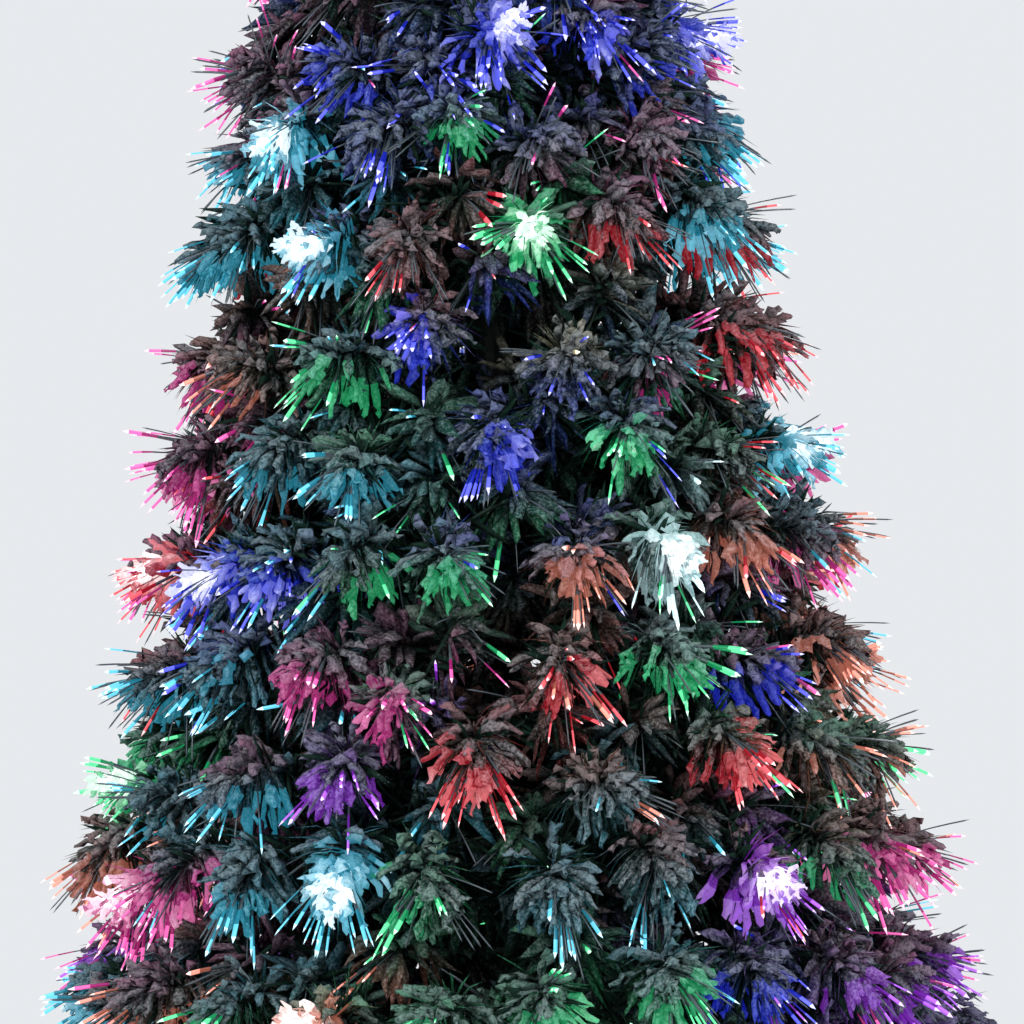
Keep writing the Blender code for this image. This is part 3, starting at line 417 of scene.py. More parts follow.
TOP_WIDENING = 0.45
KNOBS = (0.75, 1.25)
ROUGHNESS = (0.60, 1.40)
# Painted light on the needles: tip light above which fingers take the lit and hot finishes, and the painted
# spill of the colour of the tip above: how far up it is read, its share and level.
LIT_FROM = 0.40
HOT_FROM = 0.78
SPILL_RISE = 0.06
SPILL_SHARE = 0.55
SPILL_LEVEL = 0.52
FIBRE_COUNT = 16
SPRIG_FIBRE_COUNT = 6
SPRIG_FIBRE_GLOW = 0.3
# Three sprigs to a tip: depth as a share of the radius, step aside, rise, fork on the twig, light. Light is
# the share of the tip's light painted on their needles, less deeper in, and it sets their fibres' light.
SPRIGS = (
    (0.18, 0.046, 0.036, 3, 0.5),
    (0.40, -0.022, -0.026, 2, 0.2),
    (0.58, 0.018, 0.050, 2, 0.1),
)
SPRIG_BEND = 0.045
SPRIG_RISE_CHANCE = 0.012
FIBRE_SHARES = np.array((0.0, 0.35, 0.60, 0.78, 0.93, 1.0))
FIBRE_GIRTH_SHARES = np.array((0.7, 0.8, 1.0, 1.2, 1.2))
FIBRE_HALF_WIDTH = 0.0010
FIBRE_LENGTH = 0.018
FIBRE_DROOP = 0.006
FIBRE_LENGTHS = (0.4, 1.3)
DARK_GIRTHS = (0.45, 0.7)
LIT_LEAST = 0.12
LIT_GAIN = 0.75
OWN_COLOUR_SHARE = 0.8
PENCIL_COUNT = 5
PENCIL_ANGLES = (12, 55)
PENCIL_DROOP = 0.32
PENCIL_SPREAD = 0.09
TWIG_SHARES = np.linspace(0, 1, 7)
TWIG_HALF_WIDTH = 0.0016
TUFT_BEND = 0.075
TUFT_DROOPS = (0.10, 0.62)
TUFT_STRAY = 0.20
TIP_LIGHTS = (0.7, 1.1)
DOWN = np.array((0.0, 0.0, -1.0))


def unit(rows):
    """Scale each row of vectors to length one."""
    return rows / np.maximum(np.linalg.norm(rows, axis=-1, keepdims=True), 1e-9)


def closed_strands(lines, turns, wide, deep, rough=None):
    """Skin lines of points with three-cornered rings, flat at the root and pointed at the end.

    lines is n by k+1 points, the last being the point of the strand; turns is a side direction for
    each; wide and deep are n by k half widths. A corner at angle c lies at wide cos c along the side
    and deep sin c across it, times its own share in rough. Returns n by 3k+1 points.
    """
    ways = unit(np.diff(lines, axis=1))
    sides = unit(np.cross(ways, turns[:, None, :]))
    across = np.cross(ways, sides)
    corners = np.radians((90.0, 210.0, 330.0))
    spokes = (
        (wide[..., None] * np.cos(corners))[..., None] * sides[:, :, None, :]
        + (deep[..., None] * np.sin(corners))[..., None] * across[:, :, None, :]
    )
    if rough is not None:
        spokes = spokes * rough[..., None]
    rings = lines[:, :-1, None, :] + spokes
    flat = rings.reshape(len(lines), -1, 3)
    return np.concatenate([flat, lines[:, -1:, :]], axis=1)


def strand_faces(rings):
    """Triangles of one closed strand, outward, and the stretch between rings that each lies on."""
    faces, stretch = [(0, 2, 1)], [0]
    for ring in range(rings - 1):
        for corner in range(3):
            a, b = 3 * ring + corner, 3 * ring + (corner + 1) % 3
            faces += [(a, b, b + 3), (a, b + 3, a + 3)]
            stretch += [ring, ring]
    last = 3 * (rings - 1)
    for corner in range(3):
        faces.append((last + corner, last + (corner + 1) % 3, 3 * rings))
        stretch.append(rings - 1)
    return np.array(faces), np.array(stretch)


def strand_set(lines, turns, wide, deep, slots, flock=None, lit=None, painted_glow=None, rough=None):
    """One lot of strands for pile_mesh: points, faces, slot of each face, and three looks.

    slots is n by k slot numbers, flock and lit are n by k+1 shares along the strand, and painted_glow is
    n by k+1 colours: the light of fibres and lamps painted on the needles, taken as much as lit says.
    """
    count, rings = wide.shape
    points = closed_strands(lines, turns, wide, deep, rough)
    faces, stretch = strand_faces(rings)
    shift = np.arange(count)[:, None, None] * (3 * rings + 1)
    spread = np.append(np.repeat(np.arange(rings), 3), rings)
    blank = np.zeros((count, rings + 1))
    colour = np.zeros((count, rings + 1, 3)) if painted_glow is None else painted_glow
    return {
        "points": points.reshape(-1, 3),
        "faces": (faces[None] + shift).reshape(-1, 3),
        "slots": slots[:, stretch].reshape(-1),
        "flock": (blank if flock is None else flock)[:, spread].reshape(-1),
        "lit": (blank if lit is None else lit)[:, spread].reshape(-1),
        "painted_glow": colour[:, spread].reshape(-1, 3),
    }


def pile_mesh(name, sets, materials):
    """Join sets of strands into one mesh object with its flock, lit and painted_glow attributes, the last two
    being light painted into the colour.
    """
    points = np.concatenate([item["points"] for item in sets])
    offsets = np.cumsum([0] + [len(item["points"]) for item in sets[:-1]])
    faces = np.concatenate([item["faces"] + offset for item, offset in zip(sets, offsets)])
    slots = np.concatenate([item["slots"] for item in sets])
    used, slots = np.unique(slots, return_inverse=True)
    mesh = bpy.data.meshes.new(name)
    mesh.vertices.add(len(points))
    mesh.vertices.foreach_set("co", points.ravel())
    mesh.loops.add(faces.size)
    mesh.loops.foreach_set("vertex_index", faces.ravel().astype(np.int32))
    mesh.polygons.add(len(faces))
    mesh.polygons.foreach_set("loop_start", np.arange(len(faces), dtype=np.int32) * 3)
    for number in used:
        mesh.materials.append(materials[number])
    mesh.polygons.foreach_set("material_index", slots.astype(np.int32).ravel())
    mesh.update(calc_edges=True)
    mesh.polygons.foreach_set("use_smooth", np.ones(len(faces), dtype=bool))
    for look in ("flock", "lit"):
        layer = mesh.attributes.new(look, "FLOAT", "POINT")
        layer.data.foreach_set("value", np.concatenate([item[look] for item in sets]))
    layer = mesh.attributes.new("painted_glow", "FLOAT_COLOR", "POINT")
    colour = np.concatenate([item["painted_glow"] for item in sets])
    opaque = np.concatenate([colour, np.ones((len(colour), 1))], axis=1)
    layer.data.foreach_set("color", opaque.ravel())
    item = bpy.data.objects.new(name, mesh)
    bpy.context.scene.collection.objects.link(item)
    return item


NEEDLE_GREEN = (0.006, 0.026, 0.017)
NEEDLE_GREEN_LIGHT = (0.014, 0.050, 0.032)
# Flock colours: darker than white flock, painted shade that keeps the tufts dim under the studio lamps.
# FLOCK_SHADE is painted shade in the hollows of the clots.
FLOCK_COLOUR = (0.35, 0.41, 0.43)
FLOCK_SHADE = (0.09, 0.12, 0.13)
CLOT_SCALE = 420.0
CLOT_DEPTH = 0.0016
CLOT_WEIGHT = 1.3
BARE_COVER = 0.85
FULL_COVER = 1.35
PAINTED_GLOW_GRAIN = (0.36, 0.60)
PAINTED_GLOW_LEAST = 0.50
# Colour sockets of a Mix node, by number, since their names aren't unique.
MIX_FIRST, MIX_SECOND, MIX_RESULT = 6, 7, 2


def needle_finish(name, light=(0.0, 0.0, 0.0), strength=0.0):
    """Green PVC under flock: noise breaks up the flock share, and the light of the fibres and lamps
    is painted over both as colour.

    Cover is the flock attribute plus the weighted noise, from bare to full between two levels. The
    painted_glow colour covers by the lit attribute, down to half of it where the noise is low.
    """
    material = bpy.data.materials.new(name)
    nodes, links, shader = tree_of(material)
    clots = noise_of(nodes, links, CLOT_SCALE, 3.0)
    broad = noise_of(nodes, links, 45.0, 2.0)
    greens = ((0.35, NEEDLE_GREEN), (0.7, NEEDLE_GREEN_LIGHT))
    green = ramp_of(nodes, links, broad.outputs["Fac"], greens)
    # Painted shade: the flock turns FLOCK_SHADE where the clot noise is low, in the hollows of its bump.
    white = ramp_of(nodes, links, clots.outputs["Fac"], ((0.32, FLOCK_SHADE), (0.62, FLOCK_COLOUR)))
    share = nodes.new("ShaderNodeAttribute")
    share.attribute_name = "flock"
    spread = nodes.new("ShaderNodeMath")
    spread.operation = "MULTIPLY_ADD"
    links.new(clots.outputs["Fac"], spread.inputs[0])
    spread.inputs[1].default_value = CLOT_WEIGHT
    links.new(share.outputs["Fac"], spread.inputs[2])
    cover = nodes.new("ShaderNodeMapRange")
    cover.inputs["From Min"].default_value = BARE_COVER
    cover.inputs["From Max"].default_value = FULL_COVER
    links.new(spread.outputs[0], cover.inputs["Value"])
    coat = nodes.new("ShaderNodeMix")
    coat.data_type = "RGBA"
    links.new(cover.outputs["Result"], coat.inputs["Factor"])
    links.new(green, coat.inputs[MIX_FIRST])
    links.new(white, coat.inputs[MIX_SECOND])
    glow = nodes.new("ShaderNodeAttribute")
    glow.attribute_name = "lit"
    painted_glow = nodes.new("ShaderNodeAttribute")
    painted_glow.attribute_name = "painted_glow"
    grain = nodes.new("ShaderNodeMapRange")
    grain.inputs["From Min"].default_value = PAINTED_GLOW_GRAIN[0]
    grain.inputs["From Max"].default_value = PAINTED_GLOW_GRAIN[1]
    grain.inputs["To Min"].default_value = PAINTED_GLOW_LEAST
    links.new(clots.outputs["Fac"], grain.inputs["Value"])
    grained = nodes.new("ShaderNodeMath")
    grained.operation = "MULTIPLY"
    links.new(glow.outputs["Fac"], grained.inputs[0])
    links.new(grain.outputs["Result"], grained.inputs[1])
    # Painted glow: the light of the fibres and lamps laid over the flock as colour, broken up by the clots.
    over = nodes.new("ShaderNodeMix")
    over.data_type = "RGBA"
    links.new(grained.outputs[0], over.inputs["Factor"])
    links.new(coat.outputs[MIX_RESULT], over.inputs[MIX_FIRST])
    links.new(painted_glow.outputs["Color"], over.inputs[MIX_SECOND])
    links.new(over.outputs[MIX_RESULT], shader.inputs["Base Color"])
    shader.inputs["Roughness"].default_value = 0.92
    shader.inputs["Specular IOR Level"].default_value = 0.2
    # Lit needle finishes only: a plain emission that is painted glow, since the needles are no lamps.
    shader.inputs["Emission Color"].default_value = (*light, 1.0)
    shader.inputs["Emission Strength"].default_value = strength
    bump_of(nodes, links, shader, clots.outputs["Fac"], 1.0, CLOT_DEPTH)
    return material


def light_finish(name, light, strength, roughness, body=0.7):
    """Clear plastic that light leaves: a share of the light as its own colour, and a plain glow."""
    material = bpy.data.materials.new(name)
    nodes, links, shader = tree_of(material)
    shader.inputs["Base Color"].default_value = (*(body * part for part in light), 1.0)
    shader.inputs["Roughness"].default_value = roughness
    shader.inputs["Emission Color"].default_value = (*light, 1.0)
    shader.inputs["Emission Strength"].default_value = strength
    return material


def paler(light, share):
    """Mix a light towards white."""
    return tuple(part + (1 - part) * share for part in light)


COLOURS = tuple(LIGHT)
LIGHT_ROWS = np.array([LIGHT[name] for name in COLOURS])
# Slot numbers: four plain finishes, then each kind of lit finish in every colour. The lit needle finishes are
# painted glow on the flock, the lit fibre finishes the fibres' own light.
FLOCKED, TWIG_GREEN, CLEAR_FIBRE, LAMP_WHITE = range(4)
LIT_NEEDLES = (("lit", 0.0, 0.20), ("hot", 0.20, 0.42), ("core", 0.75, 0.85))
LIT_FIBRES = (("dim", 0.0, 0.22, 0.35), ("glow", 0.10, 1.00, 0.6), ("end", 0.50, 1.6, 0.7))
LIT_SLOTS = [LAMP_WHITE + 1 + len(COLOURS) * kind for kind in range(len(LIT_NEEDLES + LIT_FIBRES))]
FIRST_LIT, FIRST_HOT, FIRST_CORE, FIRST_DIM, FIRST_GLOW, FIRST_END = LIT_SLOTS
finishes = [
    needle_finish("flocked_needle"),
    plastic_finish("twig_binding", (0.006, 0.024, 0.014), (0.012, 0.040, 0.024), 0.6, 600.0, 0.0003),
    plastic_finish("clear_fibre", (0.10, 0.13, 0.15), (0.18, 0.22, 0.25), 0.20, 200.0, 0.0001),
    light_finish("lamp_glow", (0.93, 0.97, 1.0), 3.0, 0.3),
]
for label, whiteness, strength in LIT_NEEDLES:
    for name in COLOURS:
        finishes.append(needle_finish(f"needle_{label}_{name}", paler(LIGHT[name], whiteness), strength))
for label, whiteness, strength, body in LIT_FIBRES:
    for name in COLOURS:
        light = paler(LIGHT[name], whiteness)
        finishes.append(light_finish(f"fibre_{label}_{name}", light, strength, 0.25, body))

# Where the wheel's colours come out, seen from the front: each entry is a share of the outline's
# half width, a height and how bright the tips there are. The far side has them mirrored.
LIGHT_PLACES = {
    "red": (
        (-0.80, 1.14, 0.9), (-0.31, 0.97, 0.3), (0.55, 0.96, 0.4), (0.93, 0.92, 0.5), (0.69, 0.79, 0.3),
        (-0.96, 0.71, 1.0), (0.02, 0.63, 0.9), (0.52, 0.56, 0.9),
    ),
    "magenta": (
        (-0.89, 1.10, 0.5), (0.61, 1.07, 0.4), (0.40, 1.01, 0.3), (0.60, 0.87, 0.6), (-0.93, 0.84, 0.8),
        (0.84, 0.71, 0.9), (-0.62, 0.64, 0.7), (-0.26, 0.61, 0.8), (0.91, 0.50, 0.9), (-0.92, 0.46, 0.9),
    ),
    "blue": (
        (-0.65, 1.08, 0.6), (-0.30, 1.10, 0.9), (0.08, 1.10, 1.0), (0.44, 1.09, 0.8), (0.93, 1.13, 0.6),
        (-0.59, 1.01, 0.4), (-0.26, 0.88, 0.9), (-0.05, 0.86, 0.8), (0.34, 0.89, 0.4), (-0.28, 0.82, 0.9),
        (0.19, 0.79, 0.7), (-0.85, 0.70, 1.0), (0.79, 0.66, 0.8), (0.47, 0.44, 0.7),
    ),
    "cyan": (
        (0.68, 1.14, 0.6), (-0.87, 1.01, 0.8), (0.86, 0.99, 0.9), (-0.66, 0.95, 1.0), (0.64, 0.93, 0.7),
        (-0.70, 0.87, 0.5), (-0.47, 0.79, 0.5), (0.94, 0.81, 1.0), (-0.80, 0.78, 0.5), (-0.91, 0.66, 0.6),
        (-0.80, 0.57, 0.6), (-0.62, 0.51, 0.5), (-0.38, 0.53, 1.0), (0.24, 0.52, 0.3), (-0.98, 0.45, 0.9),
    ),
    "green": (
        (-0.10, 0.97, 0.8), (0.25, 0.97, 0.7), (-0.53, 0.90, 0.5), (0.56, 0.81, 0.8), (0.81, 0.84, 0.8),
        (-0.25, 0.73, 0.6), (0.49, 0.63, 0.8), (0.94, 0.61, 0.6), (-1.02, 0.61, 1.0), (-0.07, 0.52, 0.5),
        (0.85, 0.52, 0.4), (-0.55, 0.44, 0.5), (-0.31, 0.44, 0.8), (-0.16, 0.39, 0.7), (0.18, 0.44, 0.9),
        (0.41, 0.41, 0.6),
    ),
    "salmon": (
        (-0.79, 0.90, 0.5), (0.14, 0.71, 0.6), (0.80, 0.75, 0.6), (0.96, 0.69, 1.0), (0.31, 0.66, 0.7),
        (0.88, 0.56, 0.5), (-1.03, 0.51, 0.5), (-0.78, 0.43, 0.7), (-0.48, 0.39, 0.3),
    ),
    "warm": ((0.26, 0.93, 0.8),),
    "white": ((0.50, 0.72, 1.0),),
    "purple": ((-0.49, 0.59, 0.7), (0.56, 0.50, 1.0), (0.65, 0.45, 0.5), (1.00, 0.42, 0.8)),
}
LIGHT_LOW, LIGHT_HIGH = 0.40, 1.13
SHARE_AS_LENGTH = 0.30
BEHIND_POLE = 0.03
LIGHT_PEAK = 1.35
LIGHT_FADE = 7
LIGHT_LEAST = 0.2
place_rows = np.array([row for name in COLOURS for row in LIGHT_PLACES[name]])
place_colours = np.array([number for number, name in enumerate(COLOURS) for row in LIGHT_PLACES[name]])


def light_at(ends):
    """Colour number and brightness for tips' ends: the nearest place in outline share and height.

    Heights outside the listed band fold back into it, and X changes sign behind the pole.
    """
    height = ends[:, 2]
    span = LIGHT_HIGH - LIGHT_LOW
    folded = np.abs((height - LIGHT_LOW + span) % (2 * span) - span) + LIGHT_LOW
    share = ends[:, 0] / envelope(height) * np.where(ends[:, 1] > BEHIND_POLE, -1, 1)
    aside = (share[:, None] - place_rows[None, :, 0]) * SHARE_AS_LENGTH
    gap = np.hypot(aside, folded[:, None] - place_rows[None, :, 1])
    nearest = gap.argmin(axis=1)
    bright = place_rows[nearest, 2] * np.clip(LIGHT_PEAK - LIGHT_FADE * gap.min(axis=1), LIGHT_LEAST, 1)
    return place_colours[nearest], bright


def curve_points(roots, bends, ends, shares):
    """Points of a quadratic curve from root to end, pulled towards a bend, at shares of its way."""
    along = shares[None, :, None]
    near, far = (1 - along) ** 2, along ** 2
    return near * roots[:, None] + 2 * along * (1 - along) * bends[:, None] + far * ends[:, None]


def ring_about(ways, angles, chance):
    """Directions at given angles from each way, at chance turns about it."""
    first = unit(np.cross(ways, chance.normal(size=ways.shape)))
    second = np.cross(ways, first)
    turn = chance.uniform(0, 2 * math.pi, len(ways))[:, None]
    spoke = first * np.cos(turn) + second * np.sin(turn)
    return unit(ways * np.cos(angles)[:, None] + spoke * np.sin(angles)[:, None])


def drooping(starts, aims, lengths, droops, shares):
    """Lines that leave along their aim and sag by droop times the share squared."""
    along = shares[None, :, None]
    return starts[:, None] + aims[:, None] * lengths[:, None, None] * along + (
        DOWN[None, None] * droops[:, None, None] * along ** 2
    )


# How far a lamp's light is painted on the flock: its glow, its white glow, how much a needle in
#  painted shadow counts as farther off, and the distances within which each lit finish, painted glow, is
#  used.
LAMP_GLOW_REACH = 0.026
LAMP_WHITE_GLOW_REACH = 0.015
LAMP_SHADE = 1.8
UNSHADED_SHARE = 0.65
LAMP_ZONES = ((0.040, FIRST_LIT), (0.027, FIRST_HOT), (0.017, FIRST_CORE))


def needle_set(end, way, colour, spill, bright, has_lamp, kind, chance):
    """Needles of one tip, wound along the last stretch before its end, all sagging.

    Those wound first stand out almost square to the tip's way, and those at its end lie close to it.
    The tip's light is painted on their outer ends as colour, and as glow on lit fingers, most on
    those that point down, and turns paler where it is strong. Those on top are clotted wider and
    take a dim painted spill of the colour above.
    """
    count, shares, girths, length, half_width, depth_share, cover = NEEDLES[kind]
    along, rings = np.array(shares)[None], len(girths)
    place = (np.arange(count) + 0.5) / count
    starts = end - way * (WOUND_SETBACK + WOUND_LENGTH * (1 - place))[:, None]
    strays = chance.normal(0, NEEDLE_ANGLE_SPREAD, count)
    angles = FIRST_NEEDLE_ANGLE - NEEDLE_ANGLE_FALL * place ** 1.3 + strays
    aims = ring_about(np.repeat(way[None], count, axis=0), np.radians(angles), chance)
    lengths = length * chance.uniform(*NEEDLE_LENGTHS, count) * (1 - NEEDLE_LENGTH_FALL * place ** 2)
    droops = NEEDLE_DROOP * chance.uniform(*NEEDLE_DROOPS, count)
    lines = drooping(starts, aims, lengths, droops, along[0])
    lines[:, 1:-1] += chance.normal(0, 0.25 * half_width, (count, rings - 1, 3))
    top = np.clip(0.5 + 0.9 * aims[:, 2], 0, 1)[:, None]
    knobs = np.array(girths) * chance.uniform(*KNOBS, (count, rings))
    wide = half_width * (chance.uniform(*NEEDLE_WIDTHS, (count, 1)) + TOP_WIDENING * top) * knobs
    rough = chance.uniform(*ROUGHNESS, (count, rings, 3))
    turns = chance.normal(size=(count, 3)) * 0.45 + DOWN
    flock = cover * (0.45 + 0.55 * along ** 0.6) * (0.55 + 0.5 * top) * chance.uniform(0.75, 1.1, (count, 1))

    # Painted light: the tip's glow falls as colour on needles facing a patch below the tip and on those
    # underneath, more towards their ends; the white glow paints the strongest paler.
    patch = unit(0.4 * way + 0.6 * DOWN + chance.normal(0, 0.45, 3))
    facing = np.clip(0.35 + 0.95 * (aims @ patch), 0.12, 1.15)[:, None]
    under = 1.15 - top + 0.3 * place[:, None] + chance.normal(0, 0.2, (count, 1))
    glow = bright * facing * np.clip(under, 0, 1)
    own = np.clip(glow * (0.08 + 1.0 * along ** 1.5), 0, 0.95)
    white_glow = np.clip(2.4 * own - 1.6, 0, 0.6) * (chance.random((count, 1)) < 0.4)
    slots = np.full((count, rings), FLOCKED)
    # Painted glow: fingers in strong light take the lit finish on their outer half and the hot one at their
    # ends.
    if kind == "finger":
        slots[glow[:, 0] > LIT_FROM, rings // 2:] = FIRST_LIT + colour
        slots[glow[:, 0] > HOT_FROM, -3:] = FIRST_HOT + colour
    # The lamp's light painted on the needles near it, with painted shadow: about one needle in three counts
    # as shaded.
    if has_lamp:
        gap = np.linalg.norm(lines - (end - way * LAMP_SETBACK), axis=2)
        shaded = np.where(chance.random((count, 1)) < UNSHADED_SHARE, 1.0, LAMP_SHADE)
        gap = gap * shaded * chance.uniform(0.85, 1.2, (count, 1))
        own = np.maximum(own, np.clip(1.8 - gap / LAMP_GLOW_REACH, 0, 0.93))
        white_glow = np.maximum(white_glow, np.clip(1.9 - gap / LAMP_WHITE_GLOW_REACH, 0, 0.95))
        for reach, first in LAMP_ZONES:
            slots[gap[:, 1:] < reach] = first + colour
    # Painted light from above: top needles take a dim spill of the colour of the tip above, mixed with their
    # own into the painted_glow colour.
    spilt = SPILL_SHARE * top * (0.4 + 0.6 * along) * chance.uniform(0.5, 1.2, (count, 1))
    mixed = own[..., None] * LIGHT_ROWS[colour] + SPILL_LEVEL * spilt[..., None] * LIGHT_ROWS[spill]
    painted_glow = mixed / (own + spilt + 1e-6)[..., None] * chance.uniform(0.6, 1.0, (count, 1, 1))
    painted_glow = painted_glow + (1 - painted_glow) * white_glow[..., None]
    deep, lit = wide * depth_share, np.maximum(own, spilt)
    return strand_set(lines, turns, wide, deep, slots, flock, lit, painted_glow, rough)


def fibre_set(end, way, colour, spill, bright, count, chance):
    """Clear fibres of one tip in loose pencils, lit near their ends; one in five has the next colour."""
    angles = np.radians(chance.uniform(*PENCIL_ANGLES, PENCIL_COUNT))
    pencils = ring_about(np.repeat(way[None], PENCIL_COUNT, axis=0), angles, chance)
    pencils = unit(pencils + PENCIL_DROOP * DOWN)
    picked = pencils[chance.integers(0, PENCIL_COUNT, count)]
    aims = unit(picked + chance.normal(0, PENCIL_SPREAD, (count, 3)))
    setback = WOUND_SETBACK + WOUND_LENGTH * chance.uniform(0, 0.7, count)
    starts = end - way * setback[:, None]
    lengths = setback + FIBRE_LENGTH * chance.uniform(*FIBRE_LENGTHS, count)
    lines = drooping(starts, aims, lengths, np.full(count, FIBRE_DROOP), FIBRE_SHARES)
    lit = chance.random(count) < LIT_LEAST + LIT_GAIN * bright
    lit_girths = 0.6 + 1.1 * chance.random(count) ** 2
    girths = np.where(lit, lit_girths, chance.uniform(*DARK_GIRTHS, count))
    wide = FIBRE_HALF_WIDTH * FIBRE_GIRTH_SHARES * girths[:, None]
    slots = np.full((count, len(FIBRE_GIRTH_SHARES)), CLEAR_FIBRE)
    colours = np.where(chance.random(count) < OWN_COLOUR_SHARE, colour, spill)[lit]
    for stretch, first in ((2, FIRST_DIM), (3, FIRST_GLOW), (4, FIRST_END)):
        slots[lit, stretch] = first + colours
    return strand_set(lines, chance.normal(size=(count, 3)), wide, wide, slots)


def inner_set(line, pitch, length, chance):
    """Dark needles along a bare stretch of twig or wire."""
    steps = np.diff(line, axis=0)
    total = np.linalg.norm(steps, axis=1).sum()
    count = max(INNER_LEAST, int(total / pitch))
    share = np.sort(chance.uniform(0.02, 0.98, count)) * (len(line) - 1)
    whole = share.astype(int)
    starts = line[whole] + steps[whole] * (share - whole)[:, None]
    aims = ring_about(unit(steps[whole]), np.radians(chance.uniform(*INNER_ANGLES, count)), chance)
    lengths = length * chance.uniform(*INNER_LENGTHS, count)
    lines = drooping(starts, aims, lengths, np.full(count, INNER_DROOP), FINE_SHARES)
    wide = INNER_HALF_WIDTH * FINE_GIRTH_SHARES * chance.uniform(*INNER_WIDTHS, (count, 1))
    flock = np.full((count, len(FINE_SHARES)), INNER_FLOCK) * FINE_SHARES
    slots = np.full(wide.shape, FLOCKED)
    deep = wide * INNER_DEPTH_SHARE
    return strand_set(lines, chance.normal(size=(count, 3)), wide, deep, slots, flock)


LAMP_FOOT_SETBACK = 0.020
LAMP_LENGTH = 0.024
LAMP_SHARES = np.array((0.0, 0.25, 0.6, 0.85, 1.0))
LAMP_GIRTHS = np.array((0.7, 1.0, 1.0, 0.75))
LAMP_STAVES = 6
STAVE_PLACE = 0.0017
STAVE_HALF_WIDTH = 0.0025


def lamp_set(end, way):
    """A small round-ended lamp: six strands side by side, like staves, in a ring about its way."""
    turn = np.arange(LAMP_STAVES) * 2 * math.pi / LAMP_STAVES
    first = unit(np.cross(way, (0.1, 0.2, 1.0)))
    second = np.cross(way, first)
    offset = STAVE_PLACE * (np.cos(turn)[:, None] * first + np.sin(turn)[:, None] * second)
    foot = end - way * LAMP_FOOT_SETBACK
    lines = foot + offset[:, None] + (way * LAMP_LENGTH)[None, None] * LAMP_SHARES[None, :, None]
    wide = STAVE_HALF_WIDTH * LAMP_GIRTHS * np.ones((LAMP_STAVES, 1))
    turns = np.repeat(first[None], LAMP_STAVES, axis=0)
    return strand_set(lines, turns, wide, wide, np.full(wide.shape, LAMP_WHITE))


BURST_COUNT = 26
BURST_SHARES = (0.0, 0.30, 0.55, 0.75, 0.92, 1.0)
BURST_GIRTHS = (0.45, 0.95, 1.05, 1.0, 0.70)
BURST_LENGTH = 0.020
BURST_HALF_WIDTH = 0.0030
BURST_DROOP = 0.002
BURST_FOOT_ANGLE = 70
BURST_ANGLE_FALL = 50
BURST_ANGLE_SPREAD = 9
BURST_LENGTHS = (0.55, 1.15)
BURST_LENGTH_FALL = 0.3
BURST_WIDTHS = (0.6, 1.2)
BURST_HOT_SHARE = 0.30
BURST_DEPTH_SHARE = 0.6


def burst_set(end, way, colour, chance):
    """Short clots of flock round a lamp, so close to it that its light is painted on them, burnt
    out to nearly white as colour and glow.

    They leave the lamp's sides from its foot to its dome, nearly square to its way at the foot and
    close to it at the dome. Their outer ends keep more of the tip's own colour in that painted light.
    """
    along, rings = np.array(BURST_SHARES)[None], len(BURST_GIRTHS)
    place = (np.arange(BURST_COUNT) + 0.5) / BURST_COUNT
    starts = end - way * (LAMP_FOOT_SETBACK * (1 - place))[:, None]
    strays = chance.normal(0, BURST_ANGLE_SPREAD, BURST_COUNT)
    angles = np.radians(BURST_FOOT_ANGLE - BURST_ANGLE_FALL * place + strays)
    aims = ring_about(np.repeat(way[None], BURST_COUNT, axis=0), angles, chance)
    lengths = BURST_LENGTH * chance.uniform(*BURST_LENGTHS, BURST_COUNT) * (1 - BURST_LENGTH_FALL * place)
    lines = drooping(starts, aims, lengths, np.full(BURST_COUNT, BURST_DROOP), along[0])
    lines[:, 1:-1] += chance.normal(0, 0.3 * BURST_HALF_WIDTH, (BURST_COUNT, rings - 1, 3))
    wide = BURST_HALF_WIDTH * chance.uniform(*BURST_WIDTHS, (BURST_COUNT, 1)) * np.array(BURST_GIRTHS)
    rough = chance.uniform(*ROUGHNESS, (BURST_COUNT, rings, 3))
    # Painted glow of the lamp: core and hot emission finishes, and a near white painted_glow colour.
    slots = np.full((BURST_COUNT, rings), FIRST_CORE + colour)
    slots[chance.random(BURST_COUNT) < BURST_HOT_SHARE, 2:] = FIRST_HOT + colour
    lit = np.repeat(np.clip(1.05 - 0.35 * along, 0, 0.95), BURST_COUNT, axis=0)
    white_glow = np.clip(1.0 - 0.75 * along, 0, 0.9) * chance.uniform(0.5, 1.0, (BURST_COUNT, 1))
    painted_glow = LIGHT_ROWS[colour] * chance.uniform(0.7, 1.0, (BURST_COUNT, 1, 1))
    painted_glow = painted_glow + (1 - painted_glow) * white_glow[..., None]
    turns = chance.normal(size=(BURST_COUNT, 3))
    flock = np.full((BURST_COUNT, rings + 1), 0.9)
    return strand_set(lines, turns, wide, wide * BURST_DEPTH_SHARE, slots, flock, lit, painted_glow, rough)


def tuft_way(ends, roots, out, chance):
    """Direction in which tips end: along their twig, outward from the pole, and drooping."""
    along = unit(ends - roots)
    droop = chance.uniform(*TUFT_DROOPS, (len(ends), 1))
    return unit(0.5 * along + 0.6 * out + droop * DOWN + chance.normal(0, TUFT_STRAY, ends.shape))


